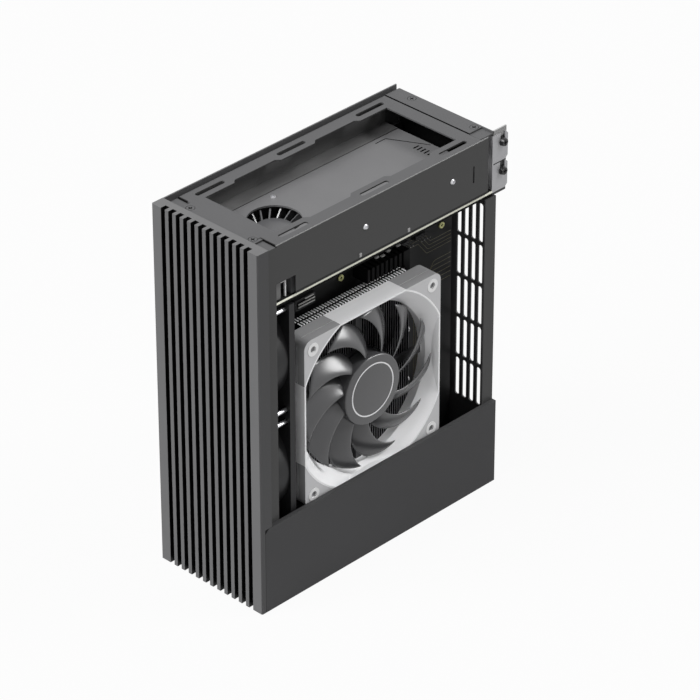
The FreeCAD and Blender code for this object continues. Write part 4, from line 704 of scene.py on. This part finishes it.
def fan_blades_tree():
    """Curved blades round +Z, each a fine block that is bent into a swept, pitched blade."""
    tree, size, leave = shape_tree("fan_blades", (
        ("Blades", "Int"), ("Root Radius", "Float"), ("Tip Radius", "Float"), ("Low", "Float"),
        ("High", "Float"), ("Thickness", "Float"), ("Chord Share", "Float"), ("Sweep", "Float"),
        ("Turn", "Rotation"), ("Place", "Vector"), ("Finish", "Material")))
    block = place(tree, "GeometryNodeMeshCube", **BLADE_CUTS)
    block.inputs["Size"].default_value = (1.0, 1.0, 1.0)
    split = place(tree, "ShaderNodeSeparateXYZ")
    tree.links.new(place(tree, "GeometryNodeInputPosition").outputs[0], split.inputs[0])
    share = Value(tree, split.outputs["X"]) + 0.5
    across = Value(tree, split.outputs["Y"]) * 2.0
    through = Value(tree, split.outputs["Z"])
    half_slice = (size["Blades"] / math.pi).step("POWER", -1.0)
    chord = half_slice.step("SINE") * size["Chord Share"]
    root_half = size["Root Radius"] * chord
    tip_half = size["Tip Radius"] * chord
    half = root_half + (tip_half - root_half) * share
    offset = across * half
    square = size["Tip Radius"] * size["Tip Radius"]
    reach = (square - offset * offset).step("SQRT")
    radius = size["Root Radius"] + (reach - size["Root Radius"]) * share
    lean = size["Sweep"] * share * (share * BLADE_SWEEP_EASE + (1.0 - BLADE_SWEEP_EASE))
    rise = size["High"] - size["Low"]
    drop = rise * share * share * BLADE_TIP_DROP
    middle = size["Low"] + drop + size["Thickness"] * 0.5
    climb = (across + 1.0) * 0.5 * (rise - drop * 2.0 - size["Thickness"])
    bow = (across * across - 1.0) * rise * -BLADE_BOW
    fullness = (across * across * -BLADE_EDGE_THINNING + 1.0).step("SQRT")
    height = middle + climb + bow + through * size["Thickness"] * fullness
    cosine = lean.step("COSINE")
    sine = lean.step("SINE")
    bent = place(tree, "ShaderNodeCombineXYZ")
    feed(tree, bent.inputs["X"], cosine * radius - sine * offset)
    feed(tree, bent.inputs["Y"], sine * radius + cosine * offset)
    feed(tree, bent.inputs["Z"], height)
    blade = place(tree, "GeometryNodeSetPosition", Geometry=block.outputs["Mesh"],
                  Position=bent.outputs[0])
    smooth = place(tree, "GeometryNodeSetShadeSmooth", Geometry=blade.outputs[0])
    hub = place(tree, "GeometryNodeMeshLine", Count=size["Blades"])
    hub.inputs["Offset"].default_value = (0.0, 0.0, 0.0)
    index = Value(tree, place(tree, "GeometryNodeInputIndex").outputs[0])
    angle = place(tree, "ShaderNodeCombineXYZ")
    feed(tree, angle.inputs["Z"], index * half_slice * 2.0)
    round_hub = place(tree, "GeometryNodeInstanceOnPoints", Points=hub.outputs[0],
                      Instance=smooth.outputs[0])
    tree.links.new(angle.outputs[0], round_hub.inputs["Rotation"])
    seated = place(tree, "GeometryNodeTransform", Geometry=round_hub.outputs[0],
                   Translation=size["Place"], Rotation=size["Turn"])
    close_tree(tree, leave, seated.outputs[0], size["Finish"])
    return tree


def turned(outline, turn, place_at):
    """A lathe-turned mesh from an outline of (radius, height) about +Z, then seated."""
    mesh = bpy.data.meshes.new("turned")
    build = bmesh.new()
    corners = [build.verts.new((r * MM, 0.0, h * MM)) for r, h in outline]
    edges = [build.edges.new(pair) for pair in zip(corners[:-1], corners[1:])]
    bmesh.ops.spin(build, geom=corners + edges, cent=(0, 0, 0), axis=(0, 0, 1),
                   angle=2 * math.pi, steps=TURNED_SEGMENTS, use_duplicate=False)
    bmesh.ops.remove_doubles(build, verts=build.verts, dist=TURNED_WELD)
    bmesh.ops.recalc_face_normals(build, faces=build.faces)
    build.transform(Matrix.Translation(Vector(place_at) * MM) @ turn.to_4x4())
    build.to_mesh(mesh)
    build.free()
    mesh.shade_smooth()
    mesh.set_sharp_from_angle(angle=math.radians(TURNED_CORNER))
    return mesh


def hub_outline(radius, low, face):
    """A cup-shaped hub with a rounded front rim and its shaft."""
    points = [(0.0, face), (radius - HUB_RIM, face)]
    for degrees in HUB_RIM_BENDS:
        bend = math.radians(degrees)
        points.append((radius - HUB_RIM + HUB_RIM * math.sin(bend),
                       face - HUB_RIM + HUB_RIM * math.cos(bend)))
    wall = radius - HUB_WALL
    under = face - HUB_WALL
    return points + [(radius, low), (wall, low), (wall, under), (SHAFT_RADIUS, under),
                     (SHAFT_RADIUS, STRUT_DEPTH), (0.0, STRUT_DEPTH)]


def fan_wheel(label, body, node, hub, tip, depth, blades, chord, sweep, turn, place_at, tree):
    """Blades and hub of one fan as a single mesh on its wheel."""
    low = STRUT_DEPTH + BLADE_LIFT
    face = depth - HUB_SINK
    mesh = grown(label, tree, {
        "Blades": blades, "Root Radius": (hub - BLADE_ROOT_SINK) * MM, "Tip Radius": tip * MM,
        "Low": low * MM, "High": (depth - BLADE_LIFT) * MM, "Thickness": BLADE_THICKNESS * MM,
        "Chord Share": chord, "Sweep": math.radians(sweep), "Turn": turn.to_euler(),
        "Place": Vector(place_at) * MM, "Finish": FINISHES["blade_dark"]})
    cup = turned(hub_outline(hub, low, face), turn, place_at)
    mesh.materials.clear()
    mesh.materials.append(FINISHES["blade_dark"])
    merged = bmesh.new()
    merged.from_mesh(mesh)
    merged.from_mesh(cup)
    merged.to_mesh(mesh)
    merged.free()
    return piece(label, mesh, body, (node,))


def fan_wheels():
    """The wheels of the three open fans, and the ring on the hub of the largest."""
    tree = fan_blades_tree()
    start = TO_SIDE @ Matrix.Rotation(math.radians(CPU_FAN_START), 3, "Z")
    fan_wheel("cpu_fan_wheel_piece", "cpu_fan_wheel", "cpu_fan_rotor", CPU_HUB_RADIUS,
              CPU_TIP_RADIUS, CPU_FAN_DEPTH, CPU_BLADES, CPU_CHORD_SHARE, CPU_SWEEP, start,
              CPU_FAN_PLACE, tree)
    for level, centre in FRONT_FAN_PLACES.items():
        fan_wheel(f"front_fan_wheel_piece_{level}", f"front_fan_wheel_{level}",
                  f"front_fan_rotor_{level}", FRONT_HUB_RADIUS, FRONT_TIP_RADIUS, FRONT_FAN_DEPTH,
                  FRONT_BLADES, FRONT_CHORD_SHARE, FRONT_SWEEP, TO_FRONT, centre, tree)
    inner = HUB_RING_RADIUS - HUB_RING_HALF_WIDTH
    outer = HUB_RING_RADIUS + HUB_RING_HALF_WIDTH
    foot = CPU_FAN_DEPTH - HUB_SINK - HUB_RING_FOOT
    top = CPU_FAN_DEPTH - HUB_SINK + HUB_RING_RISE
    ring = turned([(inner, foot), (inner, top), (outer, top), (outer, foot), (inner, foot)],
                  TO_SIDE, CPU_FAN_PLACE)
    ring.materials.append(RING_WHITE)
    piece("cpu_fan_hub_ring", ring, "cpu_fan_wheel")


# Screws, lines and small parts, each set of one kind as a single mesh.

def vector_of(tree, **parts):
    return place(tree, "ShaderNodeCombineXYZ", **parts).outputs[0]


def cross_screws_tree():
    """Screws on points: a narrowing head, a cross recess in it, and a shank downwards."""
    tree, size, leave = shape_tree("cross_screws", (
        ("Head Radius", "Float"), ("Head Height", "Float"), ("Top Share", "Float"),
        ("Shank Radius", "Float"), ("Shank Length", "Float"), ("Recess Length", "Float"),
        ("Recess Width", "Float"), ("Recess Depth", "Float"), ("Turn", "Rotation"),
        ("Finish", "Material")))
    head = place(tree, "GeometryNodeMeshCone", Vertices=32, Radius_Bottom=size["Head Radius"],
                 Radius_Top=size["Head Radius"] * size["Top Share"], Depth=size["Head Height"])
    sunk = size["Head Height"] * SHANK_OVERLAP
    shank = place(tree, "GeometryNodeMeshCylinder", Vertices=20, Radius=size["Shank Radius"],
                  Depth=size["Shank Length"] + sunk)
    lowered = place(tree, "GeometryNodeTransform", Geometry=shank.outputs["Mesh"],
                    Translation=vector_of(tree, Z=(sunk - size["Shank Length"]) * 0.5))
    whole = place(tree, "GeometryNodeMeshBoolean", {"operation": "UNION", "solver": "EXACT"})
    for part in (head.outputs["Mesh"], lowered.outputs[0]):
        tree.links.new(part, whole.inputs["Mesh 2"])
    driven = place(tree, "GeometryNodeMeshBoolean", {"operation": "DIFFERENCE", "solver": "EXACT"})
    tree.links.new(whole.outputs["Mesh"], driven.inputs["Mesh 1"])
    top = vector_of(tree, Z=size["Head Height"])
    for along, aside in (("Recess Length", "Recess Width"), ("Recess Width", "Recess Length")):
        arm = place(tree, "GeometryNodeMeshCube", Size=vector_of(
            tree, X=size[along], Y=size[aside], Z=size["Recess Depth"] * 2.0))
        raised = place(tree, "GeometryNodeTransform", Geometry=arm.outputs["Mesh"], Translation=top)
        tree.links.new(raised.outputs[0], driven.inputs["Mesh 2"])
    everywhere = place(tree, "GeometryNodeInstanceOnPoints", Instance=driven.outputs["Mesh"],
                       Points=size["Geometry"], Rotation=size["Turn"])
    close_tree(tree, leave, everywhere.outputs[0], size["Finish"])
    return tree


def crisp(mesh):
    """Smooth round faces with their corners kept."""
    mesh.shade_smooth()
    mesh.set_sharp_from_angle(angle=math.radians(CRISP_CORNER))
    return mesh


def screw_sets():
    """Every screw whose head can be seen, in place of its plain solid."""
    tree = cross_screws_tree()
    signs = (-FRONT_FAN_HOLE, FRONT_FAN_HOLE)
    fan_corners = [(x + across, y, z + up) for x, y, z in FRONT_FAN_PLACES.values()
                   for across in signs for up in signs]
    board_corners = [(BOARD_FACE, y, z) for y, z in BOARD_HOLES]
    rim_corners = [(x, y, RIM_SHEET_FACE) for x in RIM_SCREW_SIDES for y in RIM_SCREW_ENDS]
    wall_spots = [(WALL_FACE, y, z) for y, z in WALL_SCREW_PLACES]
    shroud_spots = [(x, y, SHROUD_TOP) for x, y in SHROUD_SCREW_PLACES]
    sets = (
        ("frame_screw_set", "frame_screws", "screw_dark", UPWARDS, rim_corners,
         (2.9, 1.0, 0.9, 1.4, 2.0, 3.2, 0.8, 0.7)),
        ("bay_wall_screw_set", "bay_wall_screws", "screw_bright", TO_SIDE, wall_spots,
         (1.9, 0.9, 0.7, 1.4, 2.0, 2.2, 0.7, 0.6)),
        ("slot_screw_set", "slot_screws", "screw_dark", TO_SIDE, SLOT_SCREW_PLACES,
         (3.0, 2.4, 0.8, 1.4, 3.0, 3.2, 0.8, 1.2)),
        ("board_screw_set", "board_screws", "board_brass", TO_SIDE, board_corners,
         (2.4, 1.2, 0.86, 1.5, 1.6, 2.3, 1.0, 0.9)),
        ("shroud_screw_set", "gpu_shroud_screws", "screw_bright", UPWARDS, shroud_spots,
         (1.9, 0.8, 0.82, 0.9, 0.05, 2.0, 0.55, 0.5)),
        ("front_fan_screw_set", "front_fan_screws", "screw_bright", TO_REAR, fan_corners,
         (2.2, 1.0, 0.82, 1.5, 26.0, 2.4, 0.8, 0.7)),
    )
    labels = ("Head Radius", "Head Height", "Top Share", "Shank Radius", "Shank Length",
              "Recess Length", "Recess Width", "Recess Depth")
    for name, node, slot, turn, points, numbers in sets:
        sizes = {label: number * MM for label, number in zip(labels, numbers)}
        sizes["Top Share"] = numbers[labels.index("Top Share")]
        sizes["Turn"] = turn.to_euler()
        sizes["Finish"] = RIM_SCREW if node == "frame_screws" else FINISHES[slot]
        piece(name, crisp(grown(name, tree, sizes, points)), "case", (node,))


def board_lines_tree():
    """Raised lines along drawn routes, with rounded corners."""
    tree, size, leave = shape_tree("board_lines", (
        ("Line Radius", "Float"), ("Corner Radius", "Float"), ("Finish", "Material")))
    route = place(tree, "GeometryNodeMeshToCurve", Mesh=size["Geometry"])
    eased = place(tree, "GeometryNodeFilletCurve", {"mode": "POLY"}, Curve=route.outputs[0],
                  Radius=size["Corner Radius"], Count=3)
    section = place(tree, "GeometryNodeCurvePrimitiveCircle", Resolution=6,
                    Radius=size["Line Radius"])
    line = place(tree, "GeometryNodeCurveToMesh", Curve=eased.outputs[0],
                 Profile_Curve=section.outputs["Curve"], Fill_Caps=True)
    close_tree(tree, leave, line.outputs[0], size["Finish"])
    return tree


def board_lines():
    """Two bundles of fine tracks on the open rear part of the motherboard."""
    points = []
    edges = []
    for count, pitch, route in TRACK_BUNDLES:
        for i in range(count):
            step = pitch * i
            first = len(points)
            points += [(BOARD_FACE, y - step * y_share, z - step * z_share)
                       for y, y_share, z, z_share in route]
            edges += [(first + n, first + n + 1) for n in range(len(route) - 1)]
    mesh = grown("board_tracks", board_lines_tree(), {
        "Line Radius": TRACK_RADIUS * MM, "Corner Radius": TRACK_CORNER * MM,
        "Finish": BOARD_LINE}, points, edges)
    piece("board_tracks", crisp(mesh), "case")


def block_rows_tree():
    """A row of small moulded blocks, each with a little draft, from every point."""
    tree, size, leave = shape_tree("block_rows", (
        ("Block", "Vector"), ("Count", "Int"), ("Step", "Vector"), ("Turn", "Rotation"),
        ("Finish", "Material")))
    side = math.sqrt(0.5)
    block = place(tree, "GeometryNodeMeshCone", Vertices=4, Radius_Bottom=side,
                  Radius_Top=side * BLOCK_DRAFT, Depth=1.0)
    squared = place(tree, "GeometryNodeTransform", Geometry=block.outputs["Mesh"])
    squared.inputs["Rotation"].default_value = (0.0, 0.0, math.radians(45))
    sized = place(tree, "GeometryNodeTransform", Geometry=squared.outputs[0], Scale=size["Block"])
    spots = place(tree, "GeometryNodeMeshLine", Count=size["Count"], Offset=size["Step"])
    run = place(tree, "GeometryNodeInstanceOnPoints", Points=spots.outputs[0],
                Instance=sized.outputs[0])
    everywhere = place(tree, "GeometryNodeInstanceOnPoints", Points=size["Geometry"],
                       Instance=run.outputs[0], Rotation=size["Turn"])
    close_tree(tree, leave, everywhere.outputs[0], size["Finish"])
    return tree


def small_parts():
    """Pin headers, fin end tabs in near white as a painted highlight, wall clips, and small parts
    on the card and the power-stage cooler.
    """
    tree = block_rows_tree()
    headers = [(BOARD_FACE, y, HEADER_LEVEL) for y in HEADER_PLACES]
    pins = [(x, y - 0.5 * (HEADER_PINS - 1) * HEADER_PITCH, z) for x, y, z in headers]
    side, start = CARD_CHIP_FIRST
    chips = [(side + CARD_CHIP_STAGGER * (i % 3), start + CARD_CHIP_PITCH * i, CARD_UNDERSIDE)
             for i in range(CARD_CHIP_COUNT)]
    chip_ends = [(x, y + CARD_CHIP_HALF, z) for x, y, z in chips]
    fin_ends = [(x, FIN_FIRST + FIN_TAB_START, FIN_TOP - FIN_TAB_SINK) for x in FIN_TAB_ROWS]
    clips = [(WALL_FACE - CLIP_SINK, y, CLIP_LEVEL) for y in CLIP_PLACES]
    sink_parts = [(x, y, SINK_TOP) for x, y in SINK_PART_PLACES]
    sets = (
        ("header_bases", "socket_black", FINISHES["socket_black"], TO_SIDE, headers,
         (3.2, 10.4, 3.0), 1, NO_STEP),
        ("header_pins", "screw_bright", CHIP_END, TO_SIDE, pins, (0.64, 0.64, 8.0),
         HEADER_PINS, (0.0, HEADER_PITCH, 0.0)),
        ("card_chip_bodies", "socket_black", CHIP_BODY, DOWNWARDS, chips, (1.8, 2.4, 1.2), 1,
         NO_STEP),
        ("card_chip_ends", "screw_bright", CHIP_END, DOWNWARDS, chip_ends, (1.9, 0.7, 1.3), 2,
         (0.0, 2.0 * CARD_CHIP_HALF, 0.0)),
        ("fin_edge_highlight_tabs", "fin_metal", FIN_EDGE_HIGHLIGHT, UPWARDS, fin_ends, (3.8, 1.05, 0.4), FIN_TAB_COUNT,
         (0.0, FIN_TAB_PITCH, 0.0)),
        ("wall_clips", "screw_dark", CHIP_END, TO_SIDE, clips, (2.6, 2.2, 0.6), 1, NO_STEP),
        ("sink_top_parts", "screw_bright", CONTACT_GREY, UPWARDS, sink_parts, (1.4, 3.4, 1.2), 1,
         NO_STEP),
    )
    for name, slot, coat, turn, points, block, count, step in sets:
        mesh = grown(name, tree, {
            "Block": Vector(block) * MM, "Count": count, "Step": Vector(step) * MM,
            "Turn": turn.to_euler(), "Finish": coat}, points)
        piece(name, mesh, "case")


def box_piece(name, slot, coat, sides, ends, levels):
    """A plain bar between limits across the case, along it and in height."""
    (left, right), (low, high) = sides, levels
    outline = [(left, low), (right, low), (right, high), (left, high)]
    return prism_piece(name, slot, coat, outline, *ends)


def prism_piece(name, slot, coat, outline, start, end, stands_for=()):
    """An outline across the case, as (x, z) corners, drawn out along it."""
    corners = [(x, y, z) for y in (start, end) for x, z in outline]
    count = len(outline)
    faces = [tuple(range(count)), tuple(range(2 * count - 1, count - 1, -1))]
    faces += [(i, i + count, (i + 1) % count + count, (i + 1) % count) for i in range(count)]
    mesh = bpy.data.meshes.new(name)
    mesh.from_pydata([Vector(corner) * MM for corner in corners], [], faces)
    build = bmesh.new()
    build.from_mesh(mesh)
    bmesh.ops.recalc_face_normals(build, faces=build.faces)
    build.to_mesh(mesh)
    build.free()
    mesh.materials.append(coat)
    return piece(name, mesh, "case", stands_for)


def plates_and_bars():
    """The left panel with its thin lip in painted light, a black strip under the card and a black
    line in its crease as painted shade, and the socket's bars.
    """
    lip = LEFT_PANEL_OUTER + LEFT_PANEL_LIP
    # Painted light: a lighter copy of the panel finish.
    panel = prism_piece("left_panel_plate", "panel_alloy", LEFT_PANEL, [
        (LEFT_PANEL_OUTER, 0.0), (LEFT_PANEL_INNER, 0.0), (LEFT_PANEL_INNER, LEFT_PANEL_REBATE),
        (lip, LEFT_PANEL_REBATE), (lip, CASE_TOP), (LEFT_PANEL_OUTER, CASE_TOP)],
        SLAB_BACK, CASE_REAR, ("left_side_panel",))
    bevel = panel.modifiers.new("edge", "BEVEL")
    bevel.width = LEFT_PANEL_EDGE * MM
    bevel.segments = 2
    bevel.limit_method = "ANGLE"
    # Painted shade: a black strip under the near edge of the card.
    box_piece("card_edge_shade_strip", "socket_black", PAINTED_SHADE_BLACK, CARD_SHADE_STRIP_SIDES, CARD_SHADE_STRIP_ENDS,
              (CARD_SHADE_STRIP_LOW, CARD_UNDERSIDE))
    # Painted shade: a black line along the crease of the shroud.
    crease = grown("crease_shade_line", board_lines_tree(), {
        "Line Radius": CREASE_RADIUS * MM, "Corner Radius": CREASE_CORNER * MM,
        "Finish": PAINTED_SHADE_BLACK}, CREASE_ROUTE, [(0, 1), (1, 2)])
    piece("crease_shade_line", crisp(crease), "case")
    for name, ends, level in SOCKET_BARS:
        box_piece(f"socket_bar_{name}", "screw_bright", CONTACT_GREY, SOCKET_BAR_SIDES, ends,
                  (level - SOCKET_BAR_HALF, level + SOCKET_BAR_HALF))


# Studio.

def plainly_seen(tree):
    """1 for what the camera sees, also in a mirror or through glass, and 0 for other light."""
    path = place(tree, "ShaderNodeLightPath")
    seen = Value(tree, path.outputs["Is Camera Ray"])
    for name in ("Is Glossy Ray", "Is Transmission Ray"):
        seen = seen.step("MAXIMUM", Value(tree, path.outputs[name]))
    return seen


def studio():
    """A white surround, a pale floor that keeps its shadow, and the lamps."""
    world = bpy.data.worlds.new("studio_white")
    scene.world = world
    world.use_nodes = True
    tree = world.node_tree
    background = tree.nodes["Background"]
    level = ramp(tree, plainly_seen(tree), WORLD_LEVEL, 1.0)
    tree.links.new(level, background.inputs["Strength"])
    background.inputs["Color"].default_value = (1.0, 1.0, 1.0, 1.0)

    floor_mesh = bpy.data.meshes.new("studio_floor")
    corners = [(-FLOOR_REACH, -FLOOR_REACH), (FLOOR_REACH, -FLOOR_REACH),
               (FLOOR_REACH, FLOOR_REACH), (-FLOOR_REACH, FLOOR_REACH)]
    floor_mesh.from_pydata([(x, y, FLOOR_LEVEL) for x, y in corners], [], [(0, 1, 2, 3)])
    floor = bpy.data.objects.new("studio_floor", floor_mesh)
    scene.collection.objects.link(floor)
    floor_finish = bpy.data.materials.new("studio_floor_white")
    floor_finish.use_nodes = True
    tree = floor_finish.node_tree
    shader = tree.nodes["Principled BSDF"]
    shader.inputs["Base Color"].default_value = opaque(FLOOR_GREY)
    shader.inputs["Roughness"].default_value = FLOOR_ROUGHNESS
    shader.inputs["Specular IOR Level"].default_value = 0.0
    glow = place(tree, "ShaderNodeEmission")
    mix = place(tree, "ShaderNodeMixShader")
    feed(tree, mix.inputs[0], plainly_seen(tree) * FLOOR_GLOW)
    tree.links.new(shader.outputs[0], mix.inputs[1])
    tree.links.new(glow.outputs[0], mix.inputs[2])
    output = tree.nodes["Material Output"]
    tree.links.new(mix.outputs[0], output.inputs["Surface"])
    floor_mesh.materials.append(floor_finish)

    for name, direction, strength, spread in LAMPS:
        data = bpy.data.lights.new(name, "SUN")
        data.energy = strength
        data.angle = math.radians(spread)
        lamp = bpy.data.objects.new(name, data)
        lamp.rotation_euler = Vector(direction).to_track_quat("Z", "Y").to_euler()
        lamp.visible_diffuse = name != GLOSS_ONLY
        scene.collection.objects.link(lamp)


def camera():
    """The camera of the photograph, matched to the corners of the case."""
    azimuth = math.radians(CAMERA_AZIMUTH)
    elevation = math.radians(CAMERA_ELEVATION)
    level = math.cos(elevation)
    back = Vector((math.sin(azimuth) * level, -math.cos(azimuth) * level, math.sin(elevation)))
    right = Vector((math.cos(azimuth), math.sin(azimuth), 0.0))
    up = back.cross(right)
    roll = math.radians(CAMERA_ROLL)
    right, up = (right * math.cos(roll) + up * math.sin(roll),
                 up * math.cos(roll) - right * math.sin(roll))
    data = bpy.data.cameras.new("photo_camera")
    data.lens = CAMERA_LENS
    data.sensor_width = CAMERA_SENSOR
    data.clip_end = CAMERA_FAR
    view = bpy.data.objects.new("photo_camera", data)
    axes = Matrix((right, up, back)).transposed()
    view.matrix_world = Matrix.Translation(Vector(CAMERA_PLACE) * MM) @ axes.to_4x4()
    scene.collection.objects.link(view)
    scene.camera = view


scene.view_settings.view_transform = "Standard"
coat_nodes()
fan_wheels()
screw_sets()
board_lines()
small_parts()
plates_and_bars()
studio()
camera()
